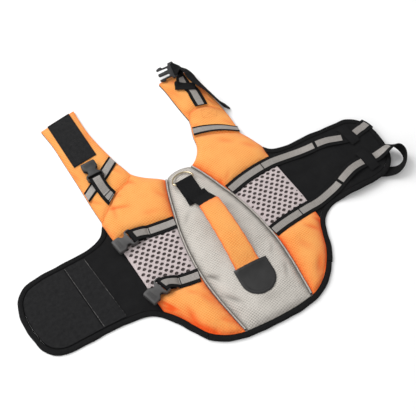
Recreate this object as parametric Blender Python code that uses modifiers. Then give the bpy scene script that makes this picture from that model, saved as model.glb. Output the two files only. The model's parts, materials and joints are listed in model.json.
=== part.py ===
"""A dog life jacket, open and laid out flat with its top side up.

All sizes below are millimetres.  +Y runs along the spine towards the neck, +X towards the wearer's
right flap, +Z up.  The jacket lies on z = 0, and the origin is on the spine under the back panel.
"""
import math

import bmesh
import bpy
import numpy as np
from mathutils import Matrix, Vector
from mathutils.bvhtree import BVHTree

MM = 0.001

# Driving sizes.
WEBBING_WIDTH = 25.0
WEBBING_THICK = 1.6
TAPE_WIDTH = 12.5
TAPE_THICK = 0.6
BINDING_WIDTH = 10.0
BINDING_HEIGHT = 7.0
PIPING_WIDTH = 4.6
PIPING_HEIGHT = 8.6
SEAM_HEIGHT = 6.0        # pads are sewn down to this height along their edges
FLAP_THICK = 4.0
BACK_CROWN = 15.0        # foam above the seam height
SHOULDER_CROWN = 9.0
HIP_CROWN = 11.0
MESH_CROWN = 2.5
STRAP_CROWN = 4.5
FLAP_RISE = 9.8          # the right flap lies on its two folded plugs
SEAM_INSET = 0.22        # each piece stops this far inside the seam line
LIE_GAP = 0.3            # what lies on a piece is this far above it
STEP = 9.0               # spacing of the sections

# Long seams of the back panel: half width at each station along the spine.
BACK_SEAM = [
    # y, half width
    (160, 27), (142, 35), (122, 42), (93, 51), (69, 58.5), (20, 69), (-18, 73.5),
    (-44, 75), (-88, 73), (-124, 69), (-166, 63.5),
]
NECK_EDGE = [(-27, 160), (-14, 165), (0, 166.5), (14, 164.5), (27, 160)]

# Outer line of the bound edge, from the left armhole round the rear to the right armhole.
OUTER_LINE = [
    (-171, 141), (-183, 126), (-196, 119.5), (-214, 116.5), (-262, 116), (-316, 116), (-343, 110),
    (-360, 95), (-369, 72), (-371.5, 45), (-369.5, 18), (-364, -4), (-352, -21), (-334, -31),
    (-302, -34.5), (-262, -36.5), (-225, -40), (-200, -44), (-183, -50), (-167, -65), (-152, -86),
    (-141, -108), (-126, -134), (-105, -152), (-75, -165.5), (-43, -171), (0, -175.5), (45, -176),
    (76, -172), (105, -157), (130, -133), (147, -108), (157, -85), (168, -63), (184, -49),
    (203, -43.5), (226, -44), (260, -47), (293, -49), (314, -47), (334, -37), (348, -19),
    (354, 6), (355, 35), (350.5, 60), (339.5, 76.5), (323.5, 87.5), (301.5, 91.5), (259, 96), (212, 104),
    (194, 106.5), (178, 110.5), (168, 117), (161.5, 126),
]
REAR_BINDING_STARTS = [(-126, -134), (130, -133)]

# The line where the foam body ends and each flap begins, front to rear.
BODY_END = {
    "left": [(-170.5, 141), (-169.5, 122), (-168.5, 104), (-166, 86), (-165, 55), (-164, 5),
             (-163.5, -30), (-162, -62)],
    "right": [(161, 126), (159.5, 115), (159, 103), (159.5, 86), (161, 50), (163.5, 5),
              (163.5, -30), (162, -62)],
}

# Middle lines of the two belly straps, out from the spine.
FRONT_STRAP = {
    "left": [(-50, 76), (-59, 77.5), (-85, 82), (-110, 87), (-125, 90), (-138, 91.5), (-172, 92)],
    "right": [(50, 78), (59, 79.5), (85, 84.5), (110, 87.5), (133, 88.5), (163, 87.5), (196, 82),
              (229, 74), (266, 66), (288, 57.5), (307, 52), (336, 54.5), (352, 53)],
}
REAR_STRAP = {
    "left": [(-66, -34), (-75, -32), (-100, -26.5), (-122, -21), (-141, -16), (-172, -12)],
    "right": [(66, -33), (77, -31), (100, -28), (139, -26), (182, -25), (203, -22), (226, -18),
              (243, -13), (269, -7), (291, -6), (306, -7), (328, -8), (346, -7)],
}

# Neck edges of the shoulder pads, from the back panel outwards, and their seams with the neck straps.
NECK_CUT = {
    "left": [(-27, 160), (-39, 171), (-57, 185), (-69, 197), (-76, 206)],
    "right": [(27, 160), (40, 168), (54, 183), (60, 194), (64, 211)],
}
STRAP_SEAM = {
    "left": [(-76, 206), (-89, 195), (-114, 186), (-141, 168), (-168, 147)],
    "right": [(64, 211), (81, 205.5), (101, 198), (122, 187), (143, 173)],
}
ARMHOLE = {
    "left": [(-168, 147), (-170, 144), (-170.5, 141)],
    "right": [(143, 173), (150, 158), (156, 141), (161, 126)],
}

# Neck straps: inner edge, outer edge and end edge.
LEFT_STRAP_INNER = [(-76, 206), (-80, 222), (-85, 240), (-89, 261), (-94, 291), (-98, 325), (-98, 356),
                    (-97, 381)]
LEFT_STRAP_OUTER = [(-168, 147), (-168.5, 175), (-168, 215), (-167.5, 250), (-167.5, 290), (-167.5, 340),
                    (-171, 377)]
LEFT_STRAP_END = [(-171, 377), (-134, 380), (-97, 381)]
RIGHT_MID_INNER = [(64, 211), (70, 228), (75, 240), (78, 250)]
RIGHT_MID_OUTER = [(143, 173), (145, 190), (146.5, 212), (146, 233)]
RIGHT_MID_SEAM = [(78, 250), (86, 261), (104, 264), (126, 256), (146, 233)]
RIGHT_END_INNER = [(78, 250), (76.5, 274), (75.5, 303), (75, 333), (73, 352)]
RIGHT_END_OUTER = [(146, 233), (145, 262), (143, 295), (140, 325), (137, 345)]
RIGHT_STRAP_END = [(73, 352), (88, 356), (106, 356), (124, 352), (137, 345)]

# Reflective bands across the neck straps: inner and outer end of the band's two edges.
NECK_BAND = {
    "left": {"front": [(-91.5, 258), (-120, 241), (-167.5, 214)],
             "rear": [(-86.5, 238), (-114, 220), (-168, 192)]},
    "right": {"front": [(72, 230), (90, 223), (115, 210), (145.5, 186.5)],
              "rear": [(65.5, 212.5), (84, 207), (109, 197), (143.5, 174.5)]},
}

COLOURS = {
    # colour, roughness, metallic
    "orange": ((0.93, 0.30, 0.055), 0.75, 0.0),
    "grey": ((0.55, 0.53, 0.49), 0.75, 0.0),
    "mesh": ((0.52, 0.47, 0.48), 0.85, 0.0),
    "black": ((0.014, 0.014, 0.015), 0.85, 0.0),
    "webbing": ((0.02, 0.02, 0.021), 0.8, 0.0),
    "tape": ((0.27, 0.26, 0.25), 0.45, 0.0),
    "plastic": ((0.05, 0.05, 0.052), 0.4, 0.0),
    "vinyl": ((0.016, 0.017, 0.018), 0.5, 0.0),
    "metal": ((0.75, 0.68, 0.52), 0.25, 1.0),
}

for old in list(bpy.data.objects):
    bpy.data.objects.remove(old, do_unlink=True)
jacket = bpy.data.collections.new("dog_life_jacket")
cutters = bpy.data.collections.new("cutters")
bpy.context.scene.collection.children.link(jacket)
bpy.context.scene.collection.children.link(cutters)
cutters.hide_render = True
surfaces = []            # one BVH tree for each piece that something may lie on


# ---------------------------------------------------------------- lines

def smooth(points, spacing=1.0):
    """Evenly spaced points of a smooth curve through the given ones (any number of columns)."""
    pts = np.array(points, float)
    chord = np.linalg.norm(np.diff(pts[:, :3], axis=0), axis=1)
    time = np.concatenate(([0.0], np.cumsum(chord)))
    slope = np.gradient(pts, time, axis=0)
    dense = []
    for i, span in enumerate(chord):
        s = np.linspace(0.0, 1.0, max(2, int(span / spacing) + 1))[:, None]
        dense.append((2 * s**3 - 3 * s**2 + 1) * pts[i] + (s**3 - 2 * s**2 + s) * span * slope[i]
                     + (3 * s**2 - 2 * s**3) * pts[i + 1] + (s**3 - s**2) * span * slope[i + 1])
    return np.vstack([dense[0]] + [d[1:] for d in dense[1:]])


def walk(line):
    """Distance along a line at each of its points."""
    return np.concatenate(([0.0], np.cumsum(np.linalg.norm(np.diff(line[:, :3], axis=0), axis=1))))


def stations(line, count):
    """The line cut into count equal steps."""
    run = walk(line)
    marks = np.linspace(0.0, run[-1], count + 1)
    return np.column_stack([np.interp(marks, run, line[:, k]) for k in range(line.shape[1])])


def steps(line, spacing=STEP):
    return max(2, int(round(walk(line)[-1] / spacing)))


def nearest(line, point):
    return int(np.argmin(np.linalg.norm(line[:, :2] - np.array(point)[:2], axis=1)))


def between(line, start, end):
    """The stretch of a line from start to end, in that direction."""
    a, b = nearest(line, start), nearest(line, end)
    part = line[a:b + 1] if a <= b else line[b:a + 1][::-1]
    return np.vstack([[start], part[1:-1], [end]])


def meet(first, second):
    """The point where two lines come closest."""
    away = np.linalg.norm(first[:, None, :] - second[None, :, :], axis=2)
    i, j = np.unravel_index(np.argmin(away), away.shape)
    return (first[i] + second[j]) / 2


def beside(line, distance):
    """The line moved to the left of its direction."""
    run = np.gradient(line, axis=0)
    run /= np.linalg.norm(run, axis=1)[:, None]
    return line + distance * np.column_stack((-run[:, 1], run[:, 0]))


def away_from(line, points):
    """Distance from each point to a line."""
    flat = points.reshape(-1, 2)
    return np.linalg.norm(flat[:, None, :] - line[None, :, :], axis=2).min(axis=1).reshape(points.shape[:-1])


# ---------------------------------------------------------------- objects

def material(name):
    made = bpy.data.materials.get(name)
    if made is None:
        made = bpy.data.materials.new(name)
        made.use_nodes = True
        colour, roughness, metallic = COLOURS[name]
        shader = made.node_tree.nodes["Principled BSDF"]
        shader.inputs["Base Color"].default_value = (*colour, 1.0)
        shader.inputs["Roughness"].default_value = roughness
        shader.inputs["Metallic"].default_value = metallic
    return made


def add_object(name, mesh, colour, carries=True):
    """Link a mesh as one named piece, and let later pieces lie on it."""
    piece = bpy.data.objects.new(name, mesh)
    mesh.materials.append(material(colour))
    jacket.objects.link(piece)
    if carries:
        remember(piece)
    return piece


def remember(piece):
    bpy.context.view_layer.update()
    shape = bmesh.new()
    shape.from_object(piece, bpy.context.evaluated_depsgraph_get())
    shape.transform(piece.matrix_world)
    surfaces.append(BVHTree.FromBMesh(shape))
    shape.free()


def from_bmesh(name, shape, colour, carries=True):
    bmesh.ops.recalc_face_normals(shape, faces=shape.faces)
    mesh = bpy.data.meshes.new(name)
    shape.to_mesh(mesh)
    shape.free()
    mesh.shade_smooth()
    mesh.set_sharp_from_angle(angle=math.radians(40))
    return add_object(name, mesh, colour, carries)


def height_at(x, y, below=200.0):
    """Top of the highest piece under a point, or 0 on the ground."""
    top = 0.0
    start = Vector((x * MM, y * MM, below * MM))
    for tree in surfaces:
        hit = tree.ray_cast(start, Vector((0, 0, -1)))[0]
        if hit is not None:
            top = max(top, hit.z / MM)
    return top


# ---------------------------------------------------------------- pads

def four_sided(bottom, right, top, left):
    """Grid of points between four edges; bottom and top run along u, left and right along v."""
    across, along = len(bottom) - 1, len(left) - 1
    u = np.linspace(0, 1, across + 1)[:, None, None]
    v = np.linspace(0, 1, along + 1)[None, :, None]
    corners = ((1 - u) * (1 - v) * bottom[0] + u * (1 - v) * bottom[-1]
               + (1 - u) * v * top[0] + u * v * top[-1])
    return ((1 - v) * bottom[:, None, :] + v * top[:, None, :]
            + (1 - u) * left[None, :, :] + u * right[None, :, :] - corners)


def rim(grid):
    """Indices of a grid's border, counter-clockwise."""
    n, m = grid.shape[0] - 1, grid.shape[1] - 1
    return ([(i, 0) for i in range(n)] + [(n, j) for j in range(m)]
            + [(i, m) for i in range(n, 0, -1)] + [(0, j) for j in range(m, 0, -1)])


def draw_in(grid, distance=SEAM_INSET):
    """Move the grid's border inwards, so that neighbours keep their seam gap."""
    border = rim(grid)
    loop = np.array([grid[i, j] for i, j in border])
    area = 0.5 * np.sum(loop[:, 0] * np.roll(loop[:, 1], -1) - np.roll(loop[:, 0], -1) * loop[:, 1])
    turn = 1.0 if area > 0 else -1.0
    before = loop - np.roll(loop, 1, axis=0)
    after = np.roll(loop, -1, axis=0) - loop
    inward = []
    for a, b in zip(before, after):
        na = np.array((-a[1], a[0])) / np.linalg.norm(a)
        nb = np.array((-b[1], b[0])) / np.linalg.norm(b)
        inward.append((na + nb) / max(0.35, 1.0 + na @ nb))
    for (i, j), move in zip(border, inward):
        grid[i, j] += turn * distance * move
    return grid


def swell(distance, margin, reach):
    """0 at the seam and its allowance, then a quarter ellipse up to 1."""
    s = np.clip((distance - margin) / reach, 0.0, 1.0)
    return np.sqrt(1.0 - (1.0 - s)**2)


def closed_sheet(name, grid, bottom_z, top_z, colour):
    """Solid between a bottom and a top surface on the same grid; a flat one is a single face."""
    shape = bmesh.new()
    border = rim(grid)
    verts = []
    for heights in (bottom_z, top_z):
        flat = np.ptp(heights) < 1e-6
        spots = border if flat else list(np.ndindex(grid.shape[:2]))
        verts.append({ij: shape.verts.new((*grid[ij] * MM, heights[ij] * MM)) for ij in spots})
        if flat:
            shape.faces.new([verts[-1][ij] for ij in border])
        else:
            for i, j in np.ndindex(grid.shape[0] - 1, grid.shape[1] - 1):
                shape.faces.new([verts[-1][ij] for ij in ((i, j), (i + 1, j), (i + 1, j + 1), (i, j + 1))])
    low, top = verts
    for a, b in zip(border, border[1:] + border[:1]):
        shape.faces.new((low[a], low[b], top[b], top[a]))
    return from_bmesh(name, shape, colour)


def pad(name, edges, crown, colour, seam_height=SEAM_HEIGHT):
    """Foam pad between four edges: each edge is (line, allowance kept flat, reach of the swell)."""
    bottom, right, top, left = [line for line, _, _ in edges]
    grid = draw_in(four_sided(bottom, right, top, left))
    rise = np.ones(grid.shape[:2])
    for line, margin, reach in edges:
        rise *= swell(away_from(stations(line, 60), grid), margin, reach)
    top_z = seam_height + crown * rise
    return closed_sheet(name, grid, np.zeros_like(top_z), top_z, colour)


# ---------------------------------------------------------------- strips

def settle(points, gap, lift=None, rounds=12, passes=7):
    """Smooth heights of a strip's grid that keep its underside clear of every piece below."""
    n, m = points.shape[:2]
    z = np.array([[height_at(*points[i, j]) for j in range(m)] for i in range(n)]) + gap
    parts = np.linspace(0, 1, 5)
    tests = []
    for i in range(n - 1):
        for j in range(m - 1):
            for s in parts:
                for t in parts:
                    w = np.array([(1 - s) * (1 - t), s * (1 - t), s * t, (1 - s) * t])
                    spot = w @ points[[i, i + 1, i + 1, i], [j, j, j + 1, j + 1]]
                    tests.append((i, j, w, height_at(*spot) + gap))
    for again in range(passes):
        if again:
            padded = np.pad(z, 1, mode="edge")
            z = 0.5 * z + 0.2 * (padded[:-2, 1:-1] + padded[2:, 1:-1]) + 0.05 * (padded[1:-1, :-2]
                                                                               + padded[1:-1, 2:])
        for _ in range(rounds):
            for i, j, w, need in tests:
                rows, cols = [i, i + 1, i + 1, i], [j, j, j + 1, j + 1]
                short = need - w @ z[rows, cols]
                if short > 0:
                    z[rows, cols] += w * short / (w @ w)
    return z if lift is None else z + lift[:, None]


def ribbon(name, points, thick, colour, carries=True):
    """Cloth strip: an open surface through a grid of 3-D points, thickened to the side it faces."""
    shape = bmesh.new()
    n, m = points.shape[:2]
    grid = [[shape.verts.new(points[i, j] * MM) for j in range(m)] for i in range(n)]
    for i in range(n - 1):
        for j in range(m - 1):
            shape.faces.new((grid[i][j], grid[i + 1][j], grid[i + 1][j + 1], grid[i][j + 1]))
    mesh = bpy.data.meshes.new(name)
    shape.to_mesh(mesh)
    shape.free()
    piece = add_object(name, mesh, colour, carries=False)
    solid = piece.modifiers.new("Thickness", "SOLIDIFY")
    solid.thickness = thick * MM
    solid.offset = 1.0
    if carries:
        remember(piece)
    return piece


def across(line, width, columns=3):
    """Grid of plan points over a line's width, seen so that its faces look up."""
    offsets = np.linspace(-width / 2, width / 2, columns)
    return np.stack([beside(line, d) for d in offsets], axis=1)


def with_z(points, z):
    return np.concatenate([points, z[..., None]], axis=2)


def laid(name, line, width, thick, colour, columns=3, lift=None, gap=LIE_GAP):
    """Strip of even width that lies on what is below it."""
    plan = across(line, width, columns)
    return ribbon(name, with_z(plan, settle(plan, gap, lift)), thick, colour)


def free_ribbon(rows, width, columns=3):
    """Grid of a strip that hangs free: rows of x, y, z, plan angle and lean of its width."""
    path = smooth(rows, 2.0)
    path = stations(path, max(4, int(walk(path[:, :3])[-1] / 6.0)))
    plan, lean = np.radians(path[:, 3]), np.radians(path[:, 4])
    side = np.column_stack((np.cos(plan) * np.cos(lean), np.sin(plan) * np.cos(lean), np.sin(lean)))
    offsets = np.linspace(-width / 2, width / 2, columns)
    return np.stack([path[:, :3] + d * side for d in offsets], axis=1)


# ---------------------------------------------------------------- panels

def smoothstep(value, low, high):
    s = min(1.0, max(0.0, (value - low) / (high - low)))
    return s * s * (3 - 2 * s)


def flap_floor(x):
    """Underside of the right flap: it climbs on to the two plugs folded under its tip."""
    return FLAP_RISE * smoothstep(x, 205.0, 250.0)


def joined(*lines):
    return np.vstack([lines[0]] + [line[1:] for line in lines[1:]])


def shared(first, second, count):
    """Two joined lines in count steps in all, with a point kept at their corner."""
    share = walk(first)[-1] / (walk(first)[-1] + walk(second)[-1])
    head = min(count - 1, max(1, int(round(count * share))))
    return joined(stations(first, head), stations(second, count - head))


# Lines that several pieces share.
outer = smooth(OUTER_LINE)
inner = beside(outer, BINDING_WIDTH)
seam = smooth([(half, y) for y, half in BACK_SEAM])
mirror = np.array((-1.0, 1.0))
pad_edge = {"right": beside(seam, PIPING_WIDTH / 2), "left": beside(seam, PIPING_WIDTH / 2) * mirror}
back_edge = {"right": beside(seam, -PIPING_WIDTH / 2), "left": beside(seam, -PIPING_WIDTH / 2) * mirror}
middle = nearest(outer, (0, -176))
tips = {"left": nearest(outer, (-371, 45)), "right": nearest(outer, (356, 20))}
front_part = {"left": inner[:tips["left"]], "right": inner[tips["right"]:]}
rear_part = {"left": inner[tips["left"]:middle], "right": inner[middle:tips["right"]]}
body_end = {side: smooth(BODY_END[side]) for side in BODY_END}
front_line = {side: smooth(FRONT_STRAP[side]) for side in FRONT_STRAP}
rear_line = {side: smooth(REAR_STRAP[side]) for side in REAR_STRAP}
hip = {side: meet(rear_part[side], body_end[side]) for side in body_end}
armpit = {side: meet(front_part[side], body_end[side]) for side in body_end}
rump = {side: meet(rear_part[side], pad_edge[side]) for side in body_end}


def back_panel():
    """Grey foam panel over the spine."""
    corner = {side: meet(rear_part[side], back_edge[side]) for side in back_edge}
    neck = smooth(NECK_EDGE)
    neck = np.vstack([back_edge["left"][:1], neck[4:-4], back_edge["right"][:1]])
    wide, long = 12, 30
    rear = stations(between(inner, corner["left"], corner["right"]), wide)
    sides = [stations(between(back_edge[s], corner[s], back_edge[s][0]), long) for s in ("right", "left")]
    return pad("back_panel", [(rear, 4, 45), (sides[0], 3, 62), (stations(neck, wide), 4, 50),
                              (sides[1], 3, 62)], BACK_CROWN, "grey")


def body_pads(side):
    """Shoulder pad, mesh panel and hip pad of one side."""
    edge, end, front, rear = pad_edge[side], body_end[side], front_line[side], rear_line[side]
    front_in, front_out = meet(front, edge), meet(front, end)
    rear_in, rear_out = meet(rear, edge), meet(rear, end)
    count = steps(between(front, front_in, front_out))
    band = stations(between(front, front_in, front_out), count)

    neck = smooth(NECK_CUT[side])
    neck[0] = edge[0]
    top = shared(neck, smooth(STRAP_SEAM[side]), count)
    tall = 9
    armhole = joined(between(end, front_out, end[0]), smooth(ARMHOLE[side])[::-1])
    pad("shoulder_" + side, [(band, 13, 26), (stations(armhole, tall), 2, 24), (top, 2, 24),
                             (stations(between(edge, front_in, edge[0]), tall), 1.5, 26)],
        SHOULDER_CROWN, "orange")

    rear_band = stations(between(rear, rear_in, rear_out), count)
    deep = steps(between(edge, rear_in, front_in), 10)
    pad("mesh_" + side, [(rear_band, 13, 12), (stations(between(end, rear_out, front_out), deep), 2, 12),
                         (band, 13, 12), (stations(between(edge, rear_in, front_in), deep), 1, 12)],
        MESH_CROWN, "mesh")

    sign = -1 if side == "left" else 1
    turn = inner[nearest(inner, (sign * 108, -137))]
    outside = joined(between(inner, turn, hip[side]), between(end, hip[side], rear_out))
    long = steps(between(edge, rump[side], rear_in), 10)
    pad("hip_" + side, [(stations(between(inner, rump[side], turn), count), 2, 26),
                        (stations(outside, long), 2, 26), (rear_band, 13, 26),
                        (stations(between(edge, rump[side], rear_in), long), 1.5, 26)],
        HIP_CROWN, "orange")


def flap(side, tip_front, tip_rear):
    """Black belly flap; the right one rises over what is folded under it."""
    front_corner = inner[nearest(inner, tip_front)]
    rear_corner = inner[nearest(inner, tip_rear)]
    long, wide = (30, 15) if side == "left" else (15, 14)
    edges = [stations(between(inner, hip[side], rear_corner), long),
             stations(between(inner, rear_corner, front_corner), wide),
             stations(between(inner, armpit[side], front_corner), long),
             stations(between(body_end[side], hip[side], armpit[side]), wide)]
    grid = draw_in(four_sided(*edges))
    floor = np.zeros(grid.shape[:2])
    if side == "right":
        floor = np.vectorize(flap_floor)(grid[..., 0])
    closed_sheet("flap_" + side, grid, floor, floor + FLAP_THICK, "black")


def bead(name, near, far, profile, height, floor, colour):
    """Piping or binding between two paired lines; profile rows are (place across, share of height)."""
    shape = bmesh.new()
    rings = []
    for a, b, tall, low in zip(near, far, height, floor):
        rings.append([shape.verts.new((*((a + (b - a) * w) * MM), (low + tall * z) * MM))
                      for w, z in profile])
    for ring, following in zip(rings, rings[1:]):
        for k, vert in enumerate(ring):
            shape.faces.new((vert, ring[k - 1], following[k - 1], following[k]))
    shape.faces.new(rings[0])
    shape.faces.new(rings[-1][::-1])
    return from_bmesh(name, shape, colour)


BINDING_PROFILE = [(0, 0), (0, 0.76), (0.16, 0.95), (0.5, 1.0), (0.84, 0.84), (1.0, 0.42), (0.94, 0)]
PIPING_PROFILE = [(0, 0), (0, 0.82), (0.22, 0.98), (0.5, 1.0), (0.78, 0.98), (1, 0.82), (1, 0)]


def piping(side):
    reach = PIPING_WIDTH / 2 - SEAM_INSET
    line = seam if side == "right" else seam * mirror
    stop = nearest(line, rump[side]) - 2
    line = stations(line[:stop], 34)
    lines = beside(line, reach), beside(line, -reach)
    flat = np.zeros(len(line))
    bead("piping_" + side, *lines, PIPING_PROFILE, flat + PIPING_HEIGHT, flat, "grey")


def binding():
    """Three lengths of tape folded over the bound edge."""
    near_line, far_line = beside(outer, BINDING_WIDTH - SEAM_INSET), outer
    cuts = [nearest(outer, point) for point in REAR_BINDING_STARTS]
    lead = 34
    last = len(outer) - 1
    spans = {"left": (lead, cuts[0] - 1), "rear": (cuts[0], cuts[1]), "right": (cuts[1] + 1, last - lead)}
    for name, (a, b) in spans.items():
        count = steps(outer[a:b + 1], STEP)
        marks = np.linspace(a, b, count + 1)
        near = np.column_stack([np.interp(marks, np.arange(last + 1), near_line[:, k]) for k in (0, 1)])
        far = np.column_stack([np.interp(marks, np.arange(last + 1), far_line[:, k]) for k in (0, 1)])
        if name == "left":
            start = armpit["left"] + (-0.6, 0)
            lead_in = between(near_line[:nearest(outer, (-262, 116))], start, near[0])
            near = joined(stations(lead_in, 4), near)
            far = joined(stations(far_line[:a + 1] + (-0.4, 0), 4), far)
        if name == "right":
            start = armpit["right"] + (0.6, 0)
            near = joined(near, stations(between(near_line[last - 90:], near[-1], start), 4))
            far = joined(far, stations(far_line[b:] + (0.4, 0), 4))
        foam = np.array([smoothstep(-abs(x), -190, -150) for x in far[:, 0]])
        tall = 5.6 + (BINDING_HEIGHT - 5.6) * foam
        floor = np.array([flap_floor(x) for x in near[:, 0]])
        bead("binding_" + name, near, far, BINDING_PROFILE, tall, floor, "webbing")


def neck_straps():
    """The padded straps that close in front of the neck."""
    wide = 8
    down = stations(smooth(STRAP_SEAM["left"]), wide)
    pad("strap_left", [(down, 2, 20), (stations(smooth(LEFT_STRAP_OUTER), 22), 2, 20),
                       (stations(smooth(LEFT_STRAP_END)[::-1], wide), 2, 20),
                       (stations(smooth(LEFT_STRAP_INNER), 22), 2, 20)], STRAP_CROWN, "orange")
    low = stations(smooth(STRAP_SEAM["right"]), wide)
    high = stations(smooth(RIGHT_MID_SEAM), wide)
    pad("strap_right_lower", [(low, 2, 20), (stations(smooth(RIGHT_MID_OUTER), 6), 2, 20), (high, 2, 20),
                              (stations(smooth(RIGHT_MID_INNER), 6), 2, 20)], STRAP_CROWN, "orange")
    pad("strap_right_upper", [(high, 2, 20), (stations(smooth(RIGHT_END_OUTER), 11), 2, 20),
                              (stations(smooth(RIGHT_STRAP_END), wide), 2, 20),
                              (stations(smooth(RIGHT_END_INNER), 11), 2, 20)], STRAP_CROWN, "orange")


# ---------------------------------------------------------------- webbing, tapes and buckles

def moved_out(points, distance):
    """A grid of 3-D points moved along its own normals."""
    face = np.cross(points[1:, 1:] - points[:-1, :-1], points[:-1, 1:] - points[1:, :-1])
    face /= np.linalg.norm(face, axis=2)[..., None]
    normal = np.zeros_like(points)
    for i in (0, 1):
        for j in (0, 1):
            normal[i:len(points) - 1 + i, j:points.shape[1] - 1 + j] += face
    return points + distance * normal / np.linalg.norm(normal, axis=2)[..., None]


def narrowed(points, share):
    """The middle share of a strip's width, in three columns."""
    place = np.linspace(0, 1, points.shape[1])
    wanted = (0.5 - share / 2, 0.5, 0.5 + share / 2)
    return np.stack([np.stack([np.interp(wanted, place, row[:, k]) for k in range(3)], axis=1)
                     for row in points])


def length_of(points, guide, start, end):
    """The rows of a grid between two distances along the middle of its guide."""
    run = walk(guide[:, guide.shape[1] // 2])
    marks = [start] + [d for d in run if start + 0.3 < d < end - 0.3] + [min(end, run[-1])]
    flat = points.reshape(len(points), -1)
    rows = [np.interp(marks, run, flat[:, k]) for k in range(flat.shape[1])]
    return np.stack(rows, axis=1).reshape(len(marks), *points.shape[1:])


def tape(name, strip, start, end, thick=WEBBING_THICK, width=TAPE_WIDTH / WEBBING_WIDTH):
    """Reflective tape sewn along the middle of a strip."""
    raised = moved_out(strip, thick + LIE_GAP + 0.15)
    return ribbon(name, narrowed(length_of(raised, strip, start, end), width), TAPE_THICK, "tape")


def reach_of(strip, x, axis=0):
    """Distance along a strip's middle to where it passes a coordinate."""
    middle = strip[:, strip.shape[1] // 2]
    return float(walk(middle)[int(np.argmin(np.abs(middle[:, axis] - x)))])


def seat(spot, heading, length, width):
    """Height at which a flat piece lies on what is under its footprint."""
    cross = np.array((-heading[1], heading[0]))
    return max(height_at(*(spot + heading * a + cross * b))
               for a in np.linspace(0, length, 9) for b in np.linspace(-width / 2, width / 2, 9)) + LIE_GAP


def unit(degrees):
    return np.array((math.cos(math.radians(degrees)), math.sin(math.radians(degrees))))


def looped(name, plan, bar, heading, bar_z, radius, bulge, width, colour="webbing"):
    """Webbing that lies flat along plan, goes over a bar and comes back under itself; its upper rows."""
    cross = np.array((-heading[1], heading[0]))
    bar_row = bar + np.linspace(-width / 2, width / 2, plan.shape[1])[:, None] * cross
    gap_length = np.linalg.norm(bar_row.mean(axis=0) - plan[-1].mean(axis=0))
    leave = gap_length * (plan[-1] - plan[-2]) / np.linalg.norm(plan[-1] - plan[-2], axis=1)[:, None]
    shares = np.linspace(0, 1, max(5, int(gap_length / 7) + 1))[1:]
    enter = gap_length * heading
    free = np.stack([(2 * t**3 - 3 * t**2 + 1) * plan[-1] + (t**3 - 2 * t**2 + t) * leave
                     + (3 * t**2 - 2 * t**3) * bar_row + (t**3 - t**2) * enter for t in shares])
    base = settle(np.concatenate([plan, free]), LIE_GAP)
    flat, over = with_z(plan, base[:len(plan)]), base[len(plan):]
    top, low = bar_z + radius, bar_z - radius
    rise = np.maximum(WEBBING_THICK + 2 * LIE_GAP, (shares**bulge)[:, None] * (top - over[-1]))
    upper = with_z(free, over + rise)
    upper[-1, :, 2] = top
    angles = np.radians(np.linspace(90, -90, 9))[1:]
    turn = np.stack([with_z((bar_row + heading * radius * math.cos(a))[None],
                            np.full((1, plan.shape[1]), bar_z + radius * math.sin(a)))[0] for a in angles])
    back = with_z(free, over + WEBBING_THICK)
    blend = (shares**2)[:, None]
    back[..., 2] = np.maximum(back[..., 2], (1 - blend) * back[..., 2] + blend * low)
    keep = [k for k, t in enumerate(shares[:-1]) if t > 0.24]
    points = np.concatenate([flat, upper, turn, back[keep][::-1]])
    ribbon(name, points, WEBBING_THICK, colour)
    return points[:len(flat) + len(upper) + 1]


# Side-release buckles, along x from the bar to the mouth or the prong tips: half outlines.
BUCKLE_THICK = 10.0
PLUG_THICK = 6.4
SLOT = (3.6, 9.0)        # the webbing's slot
SLOT_WIDTH = 27.6
BAR_AT = 1.8
SOCKET_LENGTH = 39.0
SOCKET_HALF = [(0, 14.4), (1.6, 16), (9.8, 16), (11.8, 14), (13.6, 10.4), (16, 8.6), (19.4, 8.6),
               (21.6, 10.8), (23.4, 13), (25.6, 14), (35.6, 14), (38.4, 13), (SOCKET_LENGTH, 11.8)]
PLUG_HALF = [(0, 14.4), (1.6, 16), (10.4, 16), (12.2, 11.2), (24, 11.2), (25.4, 14.2), (29, 14.6),
             (34.6, 13), (36.8, 10.8), (35.4, 9.0), (27, 8.9), (16, 8.3), (14.4, 6.2), (15.6, 3.6),
             (34.4, 2.9), (36, 1.6)]
# The socket takes the plug's prongs up to the plug's shoulder, and their catches spring out at its open sides.
CAVITY = {"from": 14.0, "half": 11.4, "gap": 0.3}
WINDOW = {"from": 14.6, "to": 28.4, "gap": 0.1}


def cut_box(name, low, high, parent):
    """Box between two corners, as a cutter in its parent's own frame."""
    bpy.ops.mesh.primitive_cube_add(size=1)
    box = bpy.context.object
    box.name = name
    low, high = np.array(low), np.array(high)
    middle, size = (low + high) / 2 * MM, (high - low) * MM
    box.data.transform(Matrix.Translation(Vector(middle)) @ Matrix.Diagonal((*size, 1)))
    for collection in list(box.users_collection):
        collection.objects.unlink(box)
    cutters.objects.link(box)
    box.parent = parent
    box.hide_render = True
    box.display_type = "WIRE"
    return box


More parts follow.
